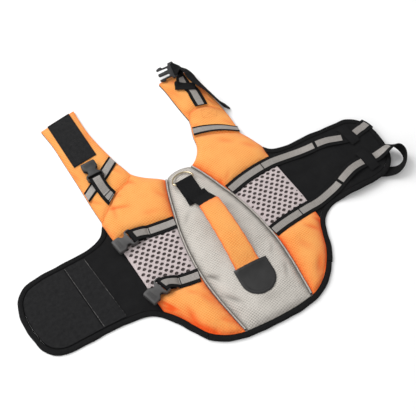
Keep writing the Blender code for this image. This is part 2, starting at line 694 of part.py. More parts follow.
def plate(name, half, thick, bevel, place, turns, cuts):
    """Moulded plate from a half outline, bevelled and cut, with the middle of its bar at the origin."""
    outline = half + [(x, -y) for x, y in half[::-1]]
    shape = bmesh.new()
    face = shape.faces.new([shape.verts.new(((x - BAR_AT) * MM, y * MM, 0)) for x, y in outline])
    grown = bmesh.ops.extrude_face_region(shape, geom=[face])["geom"]
    bmesh.ops.translate(shape, vec=(0, 0, thick * MM),
                        verts=[v for v in grown if isinstance(v, bmesh.types.BMVert)])
    bmesh.ops.recalc_face_normals(shape, faces=shape.faces)
    mesh = bpy.data.meshes.new(name)
    shape.to_mesh(mesh)
    shape.free()
    piece = add_object(name, mesh, "plastic", carries=False)
    rounded = piece.modifiers.new("Rounded", "BEVEL")
    rounded.width = bevel * MM
    rounded.segments = 1
    rounded.angle_limit = math.radians(50)
    for k, (a, b) in enumerate(cuts):
        box = cut_box(f"{name}_cut_{k}", np.array(a) - (BAR_AT, 0, 0), np.array(b) - (BAR_AT, 0, 0), piece)
        cut = piece.modifiers.new(box.name, "BOOLEAN")
        cut.object = box
    piece.location = Vector(place) * MM
    piece.rotation_euler = [math.radians(turn) for turn in turns]
    remember(piece)
    return piece


def bar_cuts(half, thick, low, high):
    """The webbing's slot, and the relief that makes its bar thinner than the plate."""
    return [((SLOT[0], -half, -1), (SLOT[1], half, thick + 1)),
            ((-1, -half, -1), (SLOT[0] + 1, half, low)),
            ((-1, -half, high), (SLOT[0] + 1, half, thick + 1))]


def socket(name, bar, heading, seat_z):
    cuts = bar_cuts(SLOT_WIDTH / 2, BUCKLE_THICK, 2.6, 6.6)
    plug_low = (BUCKLE_THICK - PLUG_THICK) / 2
    low, half = plug_low - CAVITY["gap"], CAVITY["half"]
    cuts.append(((CAVITY["from"], -half, low), (SOCKET_LENGTH + 1, half, BUCKLE_THICK - low)))
    low = plug_low - WINDOW["gap"]
    cuts.append(((WINDOW["from"], -17, low), (WINDOW["to"], 17, BUCKLE_THICK - low)))
    plate(name, SOCKET_HALF, BUCKLE_THICK, 1.3, (*bar, seat_z), (0, 0, heading), cuts)


def plug(name, place, turns):
    return plate(name, PLUG_HALF, PLUG_THICK, 0.8, place, turns,
                 bar_cuts(SLOT_WIDTH / 2 - 0.2, PLUG_THICK, 1.4, 5.0))


# Where each socket sits: the middle of its bar, its heading and where the webbing is stitched down.
SOCKETS = {
    "front": {"bar": (-137, 90.0), "heading": 187, "stitched": (-110, 86.5)},
    "rear": {"bar": (-139.5, -17.5), "heading": 197, "stitched": (-114, -23)},
}
CHEST = {"bar": (-134.5, 225), "heading": 89, "left_edge": [(-142, 169), (-147, 200), (-147.5, 206)],
         "right_edge": [(-117, 186.5), (-120.5, 200), (-122.5, 207)]}


def left_belly_straps():
    for place, lines in (("front", front_line), ("rear", rear_line)):
        spec = SOCKETS[place]
        line, heading = lines["left"], unit(spec["heading"])
        start = meet(line, pad_edge["left"]) + (-0.4, 0)
        bar = np.array(spec["bar"], float)
        lies = between(line, start, line[nearest(line, spec["stitched"])])
        plan = across(stations(lies, steps(lies, 8)), WEBBING_WIDTH)
        z = seat(bar - heading * BAR_AT, heading, SOCKET_LENGTH, 32)
        strip = looped(f"belly_strap_{place}_left", plan, bar, heading, z + 4.6, 3.0, 0.6, WEBBING_WIDTH)
        socket(f"socket_{place}", bar, spec["heading"], z)
        tape(f"tape_{place}_left", strip, 0.8, walk(strip[:, 1])[-1] - (4.5 if place == "front" else 0.3))


def neck_bands():
    """Black band with reflective tape across each neck strap."""
    for side, edges in NECK_BAND.items():
        front, rear = (stations(smooth(edges[k]), 9) for k in ("front", "rear"))
        if side == "left":
            front, rear = rear, front
        plan = np.stack([rear + (front - rear) * w for w in (0, 0.5, 1)], axis=1)
        points = with_z(plan, settle(plan, LIE_GAP))
        ribbon("neck_band_" + side, points, 0.9, "webbing")
        tape("neck_tape_" + side, points, 0.0, 200.0, thick=0.9, width=0.6)


def left_neck_fittings():
    """Loop patch, chest webbing and its socket on the left neck strap."""
    columns = [stations(np.array([(x, 272.0), (x, 373.0)]), 12) for x in (-109, -121, -133, -145, -157)]
    patch = np.stack(columns, axis=1)
    ribbon("loop_patch_strap", with_z(patch, settle(patch, LIE_GAP)), 1.4, "black")
    left, right = (stations(smooth(CHEST[k]), 5) for k in ("left_edge", "right_edge"))
    plan = np.stack([right + (left - right) * w for w in (0, 0.5, 1)], axis=1)
    bar, heading = np.array(CHEST["bar"], float), unit(CHEST["heading"])
    z = seat(bar - heading * BAR_AT, heading, SOCKET_LENGTH, 32)
    strip = looped("chest_strap_left", plan, bar, heading, z + 4.6, 3.0, 0.6, WEBBING_WIDTH)
    socket("socket_chest", bar, CHEST["heading"], z)
    tape("chest_tape_left", strip, 0.8, walk(strip[:, 1])[-1] - 0.3)


def flap_pile():
    """Two fields of loop pile on the left flap."""
    field = beside(outer, BINDING_WIDTH + 1.5)
    part = field[:middle]
    split = nearest(part, (-360, 45))
    front, rear = part[:split], part[split:]
    corners = [between(rear, rear[nearest(rear, (-261, -25))], rear[nearest(rear, (-350, -8))]),
               between(part, rear[nearest(rear, (-350, -8))], front[nearest(front, (-354, 84))]),
               between(front, front[nearest(front, (-268, 104))], front[nearest(front, (-354, 84))])]
    inside = np.array([corners[0][0], corners[2][0]])
    grid = four_sided(stations(corners[0], 9), stations(corners[1], 13), stations(corners[2], 9),
                      stations(inside, 13))[:, ::-1]
    low = np.full(grid.shape[:2], FLAP_THICK + LIE_GAP)
    closed_sheet("loop_pile_outer", grid, low, low + 1.2, "black")
    inner_edge = np.array([rear[nearest(rear, (-218, -28))] + (0, 1),
                           front[nearest(front, (-229, 104))] - (0, 1)])
    outer_edge = inside + np.array([(2.5, 0), (2.5, 0)])
    band = np.stack([stations(outer_edge, 10), stations((inner_edge + outer_edge) / 2, 10),
                     stations(inner_edge, 10)], axis=1)[:, ::-1]
    low = np.full(band.shape[:2], FLAP_THICK + LIE_GAP)
    closed_sheet("loop_pile_inner", band, low, low + 1.2, "black")


# The rear strap beyond its keeper: it turns on edge, loops past the flap's tip and comes back under it.
REAR_LOOP = [
    # x, y, z, plan angle of the width, lean of the width
    (335, -8, 19.2, 90, -14), (348, -8, 23.4, 90, -36), (361, -12, 22.5, 84, -64),
    (369, -22, 17.5, 75, -84), (368.5, -33, 15, 75, -88), (360, -43, 13.2, 84, -74),
    (347, -48.5, 11.6, 90, -52), (332, -47, 9.2, 90, -22), (316, -40, 8.4, 90, -4), (300, -30, 8.3, 84, 0),
    (287, -26, 8.3, 84, 0),
]
REAR_LIFT = [(236, 0), (250, 2.5), (264, 4.5), (280, 3.5), (296, 1.0), (306, 0.6), (320, 1.0)]
FRONT_LIFT = [(242, 0), (262, 1.6), (282, 1.4), (300, 0.4), (320, 0), (330, 0)]
BAR_STITCH = {"front": 240, "rear": 234}


def lifted(line, table):
    xs, lifts = zip(*table)
    return np.interp(line[:, 0], xs, lifts, left=0.0)


def right_belly_straps():
    """Front strap folded tight round the flap's tip, rear strap looped past it."""
    line = front_line["right"]
    lies = between(line, meet(line, pad_edge["right"]) + (0.4, 0), line[nearest(line, (338, 54))])
    lies = stations(lies, steps(lies, 7.5))
    plan = across(lies, WEBBING_WIDTH)
    top = with_z(plan, settle(plan, LIE_GAP, lifted(lies, FRONT_LIFT)))
    heading = unit(9)
    ahead = [outer[nearest(outer, point[:2] + heading * 14)] for point in top[-1]]
    bend = [(-6.2, 3.2)] + [(3.6 * math.cos(a) - 1.8, 3.35 * math.sin(a))
                            for a in np.radians(np.linspace(90, -90, 9))]
    turn = []
    for out, up in bend:
        spots = [point[:2] + heading * (heading @ (rim_point - point[:2]) + out)
                 for point, rim_point in zip(top[-1], ahead)]
        turn.append([(*spot, FLAP_RISE + 2.8 + up) for spot in spots])
    turn = np.array(turn)
    back = [turn[-1] - (*(heading * d), drop) for d, drop in ((9, 0.3), (20, 0.9), (33, 0.95), (50, 0.95))]
    strip = np.concatenate([top, turn, np.array(back)])
    ribbon("belly_strap_front_right", strip, WEBBING_THICK, "webbing")
    stitch = reach_of(strip[:len(lies)], BAR_STITCH["front"])
    tape("tape_front_right_inner", strip, 0.8, stitch - 1.2)
    tape("tape_front_right_middle", strip, stitch + 1.8, reach_of(strip[:len(lies)], 292))
    fold = walk(strip[:, 1])[len(lies) + 1]
    tape("tape_front_right_tip", strip, reach_of(strip[:len(lies)], 319), fold - 0.5)

    line = rear_line["right"]
    lies = between(line, meet(line, pad_edge["right"]) + (0.4, 0), line[nearest(line, (322, -8))])
    lies = stations(lies, steps(lies, 7.5))
    plan = across(lies, WEBBING_WIDTH)
    top = with_z(plan, settle(plan, LIE_GAP, lifted(lies, REAR_LIFT)))
    first = (*top[-1, 1], 90, 0)
    free = free_ribbon([first] + REAR_LOOP, WEBBING_WIDTH)
    strip = np.concatenate([top, free[1:]])
    ribbon("belly_strap_rear_right", strip, WEBBING_THICK, "webbing")
    stitch = reach_of(strip[:len(lies)], BAR_STITCH["rear"])
    tape("tape_rear_right_inner", strip, 0.8, stitch - 1.2)
    tape("tape_rear_right_middle", strip, stitch + 1.8, reach_of(strip[:len(lies)], 292))
    tape("tape_rear_right_tip", strip, reach_of(strip[:len(lies)], 316),
         reach_of(strip[:len(lies) + 6], 350))

    for name, ends, wide in (("keeper_front", [(303, 77), (306, 55), (308.5, 34)], 19),
                             ("keeper_rear", [(301, 16), (303, -6), (305, -29)], 20)):
        line = stations(smooth(ends), 12)
        laid(name, line, wide, 1.2, "black")
    plug("plug_front", (306, 47.5, 0), (0, 0, 189))
    plug("plug_rear", (296, -24.5, 0), (0, 0, 176))


# The right neck strap's webbing: up from its keeper, under the plug's bar and back over it as a free tail.
NECK_PLUG = {"place": (112.3, 356.6, 20.0), "turns": (-20, 14, 167)}
RISER = [
    # x, y, z, plan angle of the width, lean of the width
    (112, 334, 14.5, 186, 6), (116, 343, 17.5, 208, 10), (119.7, 350.0, 17.6, 247, -12),
]
TAIL = [
    (119.5, 351, 26, 250, -10), (126.5, 342, 20.5, 231, 12), (131, 329, 17.6, 207, 24),
    (133.5, 314, 17, 192, 33), (136.5, 297, 16.5, 186, 43), (140, 278, 15.8, 184, 51),
    (144, 259, 14.4, 185, 53), (148, 243, 12.4, 187, 53), (151, 232, 11.4, 187, 52),
]
RIGHT_WEBBING = {"left_edge": [(102.5, 267), (104, 285), (106.5, 305), (99, 325)],
                 "right_edge": [(125.5, 259.5), (128, 279), (129, 299), (123, 322)]}


def right_neck_fittings():
    """Webbing, keeper, plug and tail on the right neck strap."""
    left, right = (stations(smooth(RIGHT_WEBBING[k]), 9) for k in ("left_edge", "right_edge"))
    plan = np.stack([right + (left - right) * w for w in (0, 0.5, 1)], axis=1)
    top = with_z(plan, settle(plan, LIE_GAP))
    line = stations(smooth([(95.5, 319), (108, 317), (124, 310.5)]), 8)
    laid("keeper_neck", line, 16, 1.2, "black", gap=WEBBING_THICK + TAPE_THICK + 4 * LIE_GAP)
    piece = plug("plug_neck", **NECK_PLUG)
    turned = []
    for angle in np.radians(np.linspace(-90, 90, 9)):
        spot = ((4.4 * math.cos(angle) * MM, y * MM, (PLUG_THICK / 2 + 4.4 * math.sin(angle)) * MM)
                for y in (-WEBBING_WIDTH / 2, 0, WEBBING_WIDTH / 2))
        turned.append([piece.matrix_world @ Vector(point) / MM for point in spot])
    turned = np.array(turned)
    side = piece.matrix_world.to_3x3() @ Vector((0, 1, 0))
    turn = math.degrees(math.atan2(side.y, side.x)) % 360, math.degrees(math.asin(side.z))
    under, over = ((*turned[k, 1], *turn) for k in (0, -1))
    rise = free_ribbon([(*top[-1, 1], 177, 0)] + RISER + [under], WEBBING_WIDTH)
    free = free_ribbon([over] + TAIL, WEBBING_WIDTH)
    strip = np.concatenate([top, rise[1:-1], turned, free[1:]])
    ribbon("neck_strap_webbing_right", strip, WEBBING_THICK, "webbing")
    tape("neck_webbing_tape_right", strip, 0.8, reach_of(strip[:len(top)], 305, axis=1))


# ---------------------------------------------------------------- handle and ring

TAB_WIDTH = 34.0
TAB_END = 84.0
RING_BAR = (-4.5, 134.5)
RING_WIRE = 3.2
RING_HALF_WIDTH = 20.0
RING_DEPTH = 21.0
RING_TILT = -15.0
HANDLE_FRONT, HANDLE_REAR = 68.0, -73.0
HANDLE_HALF_WIDTH = 19.5
HANDLE_SHIFT = [(-75, -2.0), (68, 4.5), (100, -1.0)]
HANDLE_LIFT = [
    # y, gap under the handle
    (-75, 0), (-62, 0.2), (-52, 3), (-38, 8), (-15, 13), (15, 16), (45, 16.5), (60, 15.5), (69, 13.5),
    (78, 8.0), (86, 2.6), (90, 0), (100, 0),
]
PATCH_RADIUS = 31.5
PATCH_TOP, PATCH_ROUND = -65.0, -92.0


def from_table(table, values):
    keys, results = zip(*table)
    return np.interp(values, keys, results)


def tab_and_ring():
    """Webbing tab, stitched to the back panel and folded round the ring's bar."""
    bar = np.array(RING_BAR)
    line = np.array([(-6.5, TAB_END), (-6.0, TAB_END + 9)])
    plan = across(stations(line, 2), TAB_WIDTH)
    bar_z = height_at(*bar) + 2 * LIE_GAP + WEBBING_THICK + RING_WIRE / 2 + 0.4
    looped("ring_tab", plan, bar, unit(90), bar_z, RING_WIRE / 2 + 0.45, 2.0, TAB_WIDTH)

    wire = bpy.data.curves.new("d_ring", "CURVE")
    wire.dimensions = "3D"
    wire.bevel_depth = RING_WIRE / 2 * MM
    wire.bevel_resolution = 1
    bow = [(-RING_HALF_WIDTH * math.cos(a), 3.5 + (RING_DEPTH - 3.5) * math.sin(a))
           for a in np.radians(np.linspace(0, 180, 15))]
    corner = RING_HALF_WIDTH - 1.0
    outline = [(-corner + 2.0, 0.0), (-corner, 1.0)] + bow + [(corner, 1.0), (corner - 2.0, 0.0)]
    spline = wire.splines.new("POLY")
    spline.points.add(len(outline) - 1)
    for point, (x, y) in zip(spline.points, outline):
        point.co = (x * MM, y * MM, 0, 1)
    spline.use_cyclic_u = True
    shape = bmesh.new()
    shape.from_mesh(bpy.data.meshes.new_from_object(bpy.data.objects.new("ring_wire", wire)))
    bmesh.ops.remove_doubles(shape, verts=shape.verts, dist=1e-6)
    ring = from_bmesh("d_ring", shape, "metal", carries=False)
    ring.location = Vector((*bar, bar_z)) * MM
    ring.rotation_euler = (math.radians(RING_TILT), 0, 0)


def handle():
    """Sleeved handle, its webbing foot on the tab and the half-round patch over its rear end."""
    ys = np.linspace(100, HANDLE_FRONT + 0.4, 8)
    middle_x = from_table(HANDLE_SHIFT, ys)
    foot = np.stack([np.stack([middle_x + d, ys], axis=1) for d in (-17.5, 0, 17.5)], axis=1)
    foot_z = settle(foot, LIE_GAP + 0.2) + from_table(HANDLE_LIFT, ys)[:, None]
    ribbon("handle_webbing", with_z(foot, foot_z), WEBBING_THICK, "webbing")

    ys = np.linspace(HANDLE_FRONT, HANDLE_REAR, 17)
    shares = np.linspace(-1, 1, 6)
    half = HANDLE_HALF_WIDTH + 0.8 * np.sin(np.linspace(0, 3.1, len(ys)))
    middle_x = from_table(HANDLE_SHIFT, ys)
    plan = np.stack([np.stack([middle_x + c * half, ys], axis=1) for c in shares], axis=1)
    low = settle(plan, LIE_GAP) + from_table(HANDLE_LIFT, ys)[:, None]
    body = from_table([(-75, 1.8), (-62, 2.2), (-48, 4.5), (68, 4.8)], ys)
    top = low + body[:, None] * (0.45 + 0.55 * np.sqrt(1 - 0.9 * shares**2))[None, :]
    closed_sheet("handle_sleeve", plan, low, top, "orange")

    angles = np.radians((16, 32, 46, 58, 68, 76))
    rows = [(y, PATCH_RADIUS) for y in np.linspace(PATCH_TOP, PATCH_ROUND, 5)]
    rows += [(PATCH_ROUND - PATCH_RADIUS * math.sin(a), PATCH_RADIUS * math.cos(a)) for a in angles]
    turn = math.radians(-3.5)
    plan = np.array([[(2.5 + c * half * math.cos(turn) - (y - PATCH_TOP) * math.sin(turn),
                       y + c * half * math.sin(turn)) for c in np.linspace(-1, 1, 7)] for y, half in rows])
    ribbon("handle_patch", with_z(plan, settle(plan, LIE_GAP)), 1.4, "vinyl")


back_panel()
for side in ("left", "right"):
    body_pads(side)
    piping(side)
flap("left", (-354, 84), (-350, -8))
flap("right", (331.5, 72), (335, -24))
flap_pile()
binding()
neck_straps()
neck_bands()
left_belly_straps()
left_neck_fittings()
right_belly_straps()
right_neck_fittings()
tab_and_ring()
handle()
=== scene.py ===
import json
import math

import bmesh
import bpy
import numpy as np
from mathutils import Matrix, Vector, noise
from mathutils.bvhtree import BVHTree
from mathutils.geometry import delaunay_2d_cdt


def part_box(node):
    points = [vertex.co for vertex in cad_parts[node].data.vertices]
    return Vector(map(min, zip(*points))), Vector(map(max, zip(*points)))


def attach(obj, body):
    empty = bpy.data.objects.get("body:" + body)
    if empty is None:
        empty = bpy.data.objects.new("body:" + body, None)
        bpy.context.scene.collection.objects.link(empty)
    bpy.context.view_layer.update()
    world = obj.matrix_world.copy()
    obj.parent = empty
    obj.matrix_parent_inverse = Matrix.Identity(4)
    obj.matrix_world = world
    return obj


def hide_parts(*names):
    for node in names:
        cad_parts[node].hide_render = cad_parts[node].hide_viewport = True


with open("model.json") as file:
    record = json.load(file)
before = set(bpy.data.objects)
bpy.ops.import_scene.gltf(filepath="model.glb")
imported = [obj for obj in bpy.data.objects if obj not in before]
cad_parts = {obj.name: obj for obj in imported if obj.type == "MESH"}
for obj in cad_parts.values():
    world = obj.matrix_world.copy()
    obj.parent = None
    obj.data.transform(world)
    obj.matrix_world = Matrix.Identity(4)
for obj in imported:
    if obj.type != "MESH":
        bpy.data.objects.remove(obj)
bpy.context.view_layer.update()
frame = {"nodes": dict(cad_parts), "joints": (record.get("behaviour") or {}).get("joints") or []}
print("frame loaded,", len(frame["nodes"]), "nodes")

mm = 0.001                 # everything below is in millimetres, as the maker cuts it
seamInset = 0.22           # each piece stops this far inside its seam
lieGap = 0.3               # what lies on a piece is this far above it
stripColumns = 7           # points across a strip
jacket = {"seamHeight": 6.0, "bindingWidth": 10.0, "pipingWidth": 4.6, "flapThick": 4.0, "flapRise": 9.8,
          "webbingWidth": 25.0, "webbingThick": 1.6, "tapeThick": 0.4, "cell": 2.5}
scene = bpy.context.scene
scene.view_settings.view_transform = "Standard"

# camera, floor and light
studio = {"lens": 69.2, "aim": (5.0, 69.6, 8.0), "azimuth": 32.67, "elevation": 61.82, "distance": 1425.6,
          "world": 0.7, "keyPlace": (-620, 1250, 1500), "keySize": 1500, "keyPower": 33.0,
          "fillPlace": (-1300, -300, 1100), "fillSize": 1300, "fillPower": 6.0, "floor": (0.86, 0.86, 0.86)}


def setStudio(look):
    azimuth, elevation = math.radians(look["azimuth"]), math.radians(look["elevation"])
    forward = Vector((math.sin(azimuth) * math.cos(elevation), math.cos(azimuth) * math.cos(elevation),
                      -math.sin(elevation)))
    eye = bpy.data.objects.new("studioCamera", bpy.data.cameras.new("studioCamera"))
    eye.data.lens = look["lens"]
    eye.data.sensor_width = 36
    eye.location = (Vector(look["aim"]) - forward * look["distance"]) * mm
    eye.rotation_euler = forward.to_track_quat("-Z", "Y").to_euler()
    scene.collection.objects.link(eye)
    scene.camera = eye
    for name in ("key", "fill"):
        lamp = bpy.data.lights.new(name + "Light", "AREA")
        lamp.shape = "DISK"
        lamp.size = look[name + "Size"] * mm
        lamp.energy = look[name + "Power"]
        place = bpy.data.objects.new(name + "Light", lamp)
        place.location = Vector(look[name + "Place"]) * mm
        place.rotation_euler = (-place.location).to_track_quat("-Z", "Y").to_euler()
        scene.collection.objects.link(place)
    world = bpy.data.worlds.new("studioWorld")
    world.use_nodes = True
    world.node_tree.nodes["Background"].inputs["Color"].default_value = (1, 1, 1, 1)
    world.node_tree.nodes["Background"].inputs["Strength"].default_value = look["world"]
    scene.world = world
    paint = bpy.data.materials.new("floorPaper")
    paint.use_nodes = True
    paper = paint.node_tree.nodes["Principled BSDF"]
    paper.inputs["Base Color"].default_value = (*look["floor"], 1)
    paper.inputs["Roughness"].default_value = 0.9
    sheet = bpy.data.meshes.new("floor")
    sheet.from_pydata([(-6, -6, 0), (6, -6, 0), (6, 6, 0), (-6, 6, 0)], [], [(0, 1, 2, 3)])
    sheet.materials.append(paint)
    floor = bpy.data.objects.new("floor", sheet)
    scene.collection.objects.link(floor)


setStudio(studio)
print("studio set")


# finishes: small node graphs on each piece's own cloth coordinates, in metres

def addNode(tree, kind, sockets=None, **settings):
    made = tree.nodes.new(kind)
    for key, value in settings.items():
        setattr(made, key, value)
    for key, value in (sockets or {}).items():
        if isinstance(value, bpy.types.NodeSocket):
            tree.links.new(value, made.inputs[key])
        else:
            made.inputs[key].default_value = value
    return made


def calc(tree, operation, *values, clamp=False):
    return addNode(tree, "ShaderNodeMath", dict(enumerate(values)), operation=operation,
                   use_clamp=clamp).outputs[0]


def clothPlace(tree, turn=0.0):
    uv = addNode(tree, "ShaderNodeUVMap", uv_map="cloth").outputs[0]
    rotation = (0, 0, math.radians(turn))
    turned = addNode(tree, "ShaderNodeMapping", {"Vector": uv, "Rotation": rotation}).outputs[0]
    split = addNode(tree, "ShaderNodeSeparateXYZ", {0: turned})
    return turned, split.outputs[0], split.outputs[1]


def ripple(tree, place, pitch):
    return calc(tree, "SINE", calc(tree, "MULTIPLY", place, 2 * math.pi / (pitch * mm)))


def speckle(tree, vector, size, detail=3.0):
    return addNode(tree, "ShaderNodeTexNoise", {"Vector": vector, "Scale": 1 / (size * mm), "Detail": detail,
                                                "Roughness": 0.6}).outputs[0]


def blended(tree, amount, low, high):
    mix = addNode(tree, "ShaderNodeMix", data_type="RGBA")
    for key, value in ((0, amount), (6, low), (7, high)):
        if isinstance(value, bpy.types.NodeSocket):
            tree.links.new(value, mix.inputs[key])
        else:
            mix.inputs[key].default_value = (*value, 1) if isinstance(value, tuple) else value
    return mix.outputs[2]


# the "fold" attribute is a painted shade mask: where it is high, the finish is painted darker as if in shade
def paintedFoldShade(tree):
    return addNode(tree, "ShaderNodeAttribute", attribute_name="fold").outputs["Fac"]


def newFinish(name, roughness, **sockets):
    finish = bpy.data.materials.new(name)
    finish.use_nodes = True
    shader = finish.node_tree.nodes["Principled BSDF"]
    shader.inputs["Roughness"].default_value = roughness
    for key, value in sockets.items():
        shader.inputs[key.replace("_", " ")].default_value = value
    return finish, finish.node_tree, shader


def lastly(tree, shader, colour, height, depth):
    tree.links.new(colour, shader.inputs["Base Color"])
    bump = addNode(tree, "ShaderNodeBump", {"Height": height, "Distance": depth * mm, "Strength": 1.0})
    tree.links.new(bump.outputs[0], shader.inputs["Normal"])


dobbyWeave = {"turn": 24.0, "dotPitch": (5.8, 4.756), "threadPitch": 0.62, "dotTone": 2.4, "patchSize": 40,
              "grainSize": 2.4}


def dobbyCloth(name, light, deep, paintedShadeTone, weave):
    finish, tree, shader = newFinish(name, 0.78, Sheen_Weight=0.1, Sheen_Roughness=0.5,
                                     Specular_IOR_Level=0.2)
    place, across, along = clothPlace(tree, weave["turn"])
    wide, long = weave["dotPitch"]
    dots = calc(tree, "MULTIPLY", ripple(tree, across, wide), ripple(tree, along, long))
    dots = calc(tree, "POWER", calc(tree, "MULTIPLY_ADD", dots, 0.5, 0.5), 2.0)
    threads = calc(tree, "ADD", *[ripple(tree, way, weave["threadPitch"]) for way in (across, along)])
    patches = calc(tree, "POWER", speckle(tree, place, weave["patchSize"]), 1.6)
    grain = speckle(tree, place, weave["grainSize"])
    amount = calc(tree, "MULTIPLY", dots, calc(tree, "MULTIPLY", patches, weave["dotTone"]))
    amount = calc(tree, "ADD", amount, calc(tree, "MULTIPLY_ADD", grain, 0.34, -0.17), clamp=True)
    cloth = blended(tree, amount, light, deep)
    # painted shade: the cloth is blended to a darker, deeper colour where the fold mask is high, near seams
    # and in creases
    cloth = blended(tree, paintedFoldShade(tree), cloth, paintedShadeTone)
    height = calc(tree, "ADD", calc(tree, "MULTIPLY", dots, 1.4), calc(tree, "MULTIPLY", threads, 0.2))
    lastly(tree, shader, cloth, calc(tree, "ADD", height, grain), 0.5)
    return finish


def meshKnit():
    finish, tree, shader = newFinish("meshKnit", 0.85, Sheen_Weight=0.2, Specular_IOR_Level=0.2)
    place, across, along = clothPlace(tree)
    loops = calc(tree, "MULTIPLY", ripple(tree, across, 1.25), ripple(tree, along, 1.4))
    grain = speckle(tree, place, 1.8)
    tone = calc(tree, "ADD", calc(tree, "MULTIPLY", loops, 0.22), grain, clamp=True)
    yarn = blended(tree, tone, (0.37, 0.295, 0.293), (0.86, 0.765, 0.765))
    lastly(tree, shader, yarn, calc(tree, "ADD", loops, grain), 0.3)
    return finish


def plainBlack(name, colour, worn, roughness, pitch, depth, fuzz=0.0):
    finish, tree, shader = newFinish(name, roughness, Sheen_Weight=0.08 if fuzz else 0.0,
                                     Sheen_Roughness=0.4, Specular_IOR_Level=0.12)
    place, across, along = clothPlace(tree)
    threads = calc(tree, "MULTIPLY", ripple(tree, across, pitch), ripple(tree, along, pitch))
    dust = speckle(tree, place, 7 if fuzz else 18)
    hairs = speckle(tree, place, 0.9, 6.0)
    tone = calc(tree, "MULTIPLY", dust, calc(tree, "ADD", hairs, 0.35), clamp=True)
    cloth = blended(tree, tone, colour, worn)
    # painted shade: darker where the fold mask is high
    cloth = blended(tree, paintedFoldShade(tree), cloth, (0.004, 0.004, 0.004))
    height = calc(tree, "ADD", calc(tree, "MULTIPLY", threads, 1 - fuzz),
                  calc(tree, "MULTIPLY", hairs, 1 + 3 * fuzz))
    lastly(tree, shader, cloth, height, depth)
    return finish


def ribbedWebbing():
    finish, tree, shader = newFinish("ribbedWebbing", 0.85, Specular_IOR_Level=0.04)
    place, along, across = clothPlace(tree)
    fold = calc(tree, "PINGPONG", across, 3.1 * mm)
    chevron = ripple(tree, calc(tree, "ADD", along, fold), 1.9)
    warp = ripple(tree, across, 1.55)
    grain = speckle(tree, place, 3.0)
    tone = calc(tree, "MULTIPLY_ADD", calc(tree, "ADD", chevron, warp), 0.14, grain, clamp=True)
    yarn = blended(tree, tone, (0.005, 0.005, 0.0054), (0.02, 0.02, 0.0205))
    lastly(tree, shader, yarn, calc(tree, "ADD", chevron, calc(tree, "MULTIPLY", warp, 0.7)), 0.22)
    return finish


def reflectiveTape():
    finish, tree, shader = newFinish("reflectiveTape", 0.42, Metallic=0.15, Specular_IOR_Level=0.4)
    place, along, across = clothPlace(tree)
    ribs = ripple(tree, along, 1.5)
    lines = ripple(tree, across, 2.3)
    lines = calc(tree, "POWER", calc(tree, "MULTIPLY_ADD", lines, 0.5, 0.5), 5.0)
    grain = speckle(tree, place, 5.0)
    tone = calc(tree, "MULTIPLY_ADD", lines, 0.62, calc(tree, "MULTIPLY_ADD", grain, 0.5, -0.12), clamp=True)
    face = blended(tree, tone, (0.315, 0.292, 0.272), (0.085, 0.08, 0.075))
    height = calc(tree, "SUBTRACT", calc(tree, "MULTIPLY", ribs, 0.3), lines)
    lastly(tree, shader, face, height, 0.14)
    return finish


def mouldedPlastic(name, low, high, shine):
    finish, tree, shader = newFinish(name, 0.46, Specular_IOR_Level=shine)
    place = addNode(tree, "ShaderNodeTexCoord").outputs["Object"]
    grain = speckle(tree, place, 0.5, 2.0)
    clouds = speckle(tree, place, 14.0)
    lastly(tree, shader, blended(tree, clouds, low, high), grain, 0.06)
    return finish


def coatedVinyl():
    finish, tree, shader = newFinish("coatedVinyl", 0.42, Coat_Weight=0.06, Coat_Roughness=0.3,
                                     Specular_IOR_Level=0.3)
    place = clothPlace(tree)[0]
    grain = speckle(tree, place, 0.8, 4.0)
    clouds = speckle(tree, place, 24.0)
    skin = blended(tree, clouds, (0.009, 0.009, 0.009), (0.026, 0.0255, 0.0255))
    # painted shade: the vinyl is darker where the fold mask is high
    lastly(tree, shader, blended(tree, paintedFoldShade(tree), skin, (0.006, 0.006, 0.006)), grain, 0.1)
    return finish


def platedRing():
    finish, tree, shader = newFinish("platedRing", 0.2, Metallic=1.0)
    place = addNode(tree, "ShaderNodeTexCoord").outputs["Object"]
    plating = blended(tree, speckle(tree, place, 6.0), (0.56, 0.48, 0.33), (0.36, 0.30, 0.2))
    lastly(tree, shader, plating, speckle(tree, place, 0.7), 0.03)
    return finish


def sewingThread(name, colour):
    finish, tree, shader = newFinish(name, 0.75, Specular_IOR_Level=0.15)
    place = addNode(tree, "ShaderNodeTexCoord").outputs["Object"]
    twist = speckle(tree, place, 0.6)
    darker = tuple(c * 0.55 for c in colour)
    lastly(tree, shader, blended(tree, twist, darker, colour), twist, 0.1)
    return finish


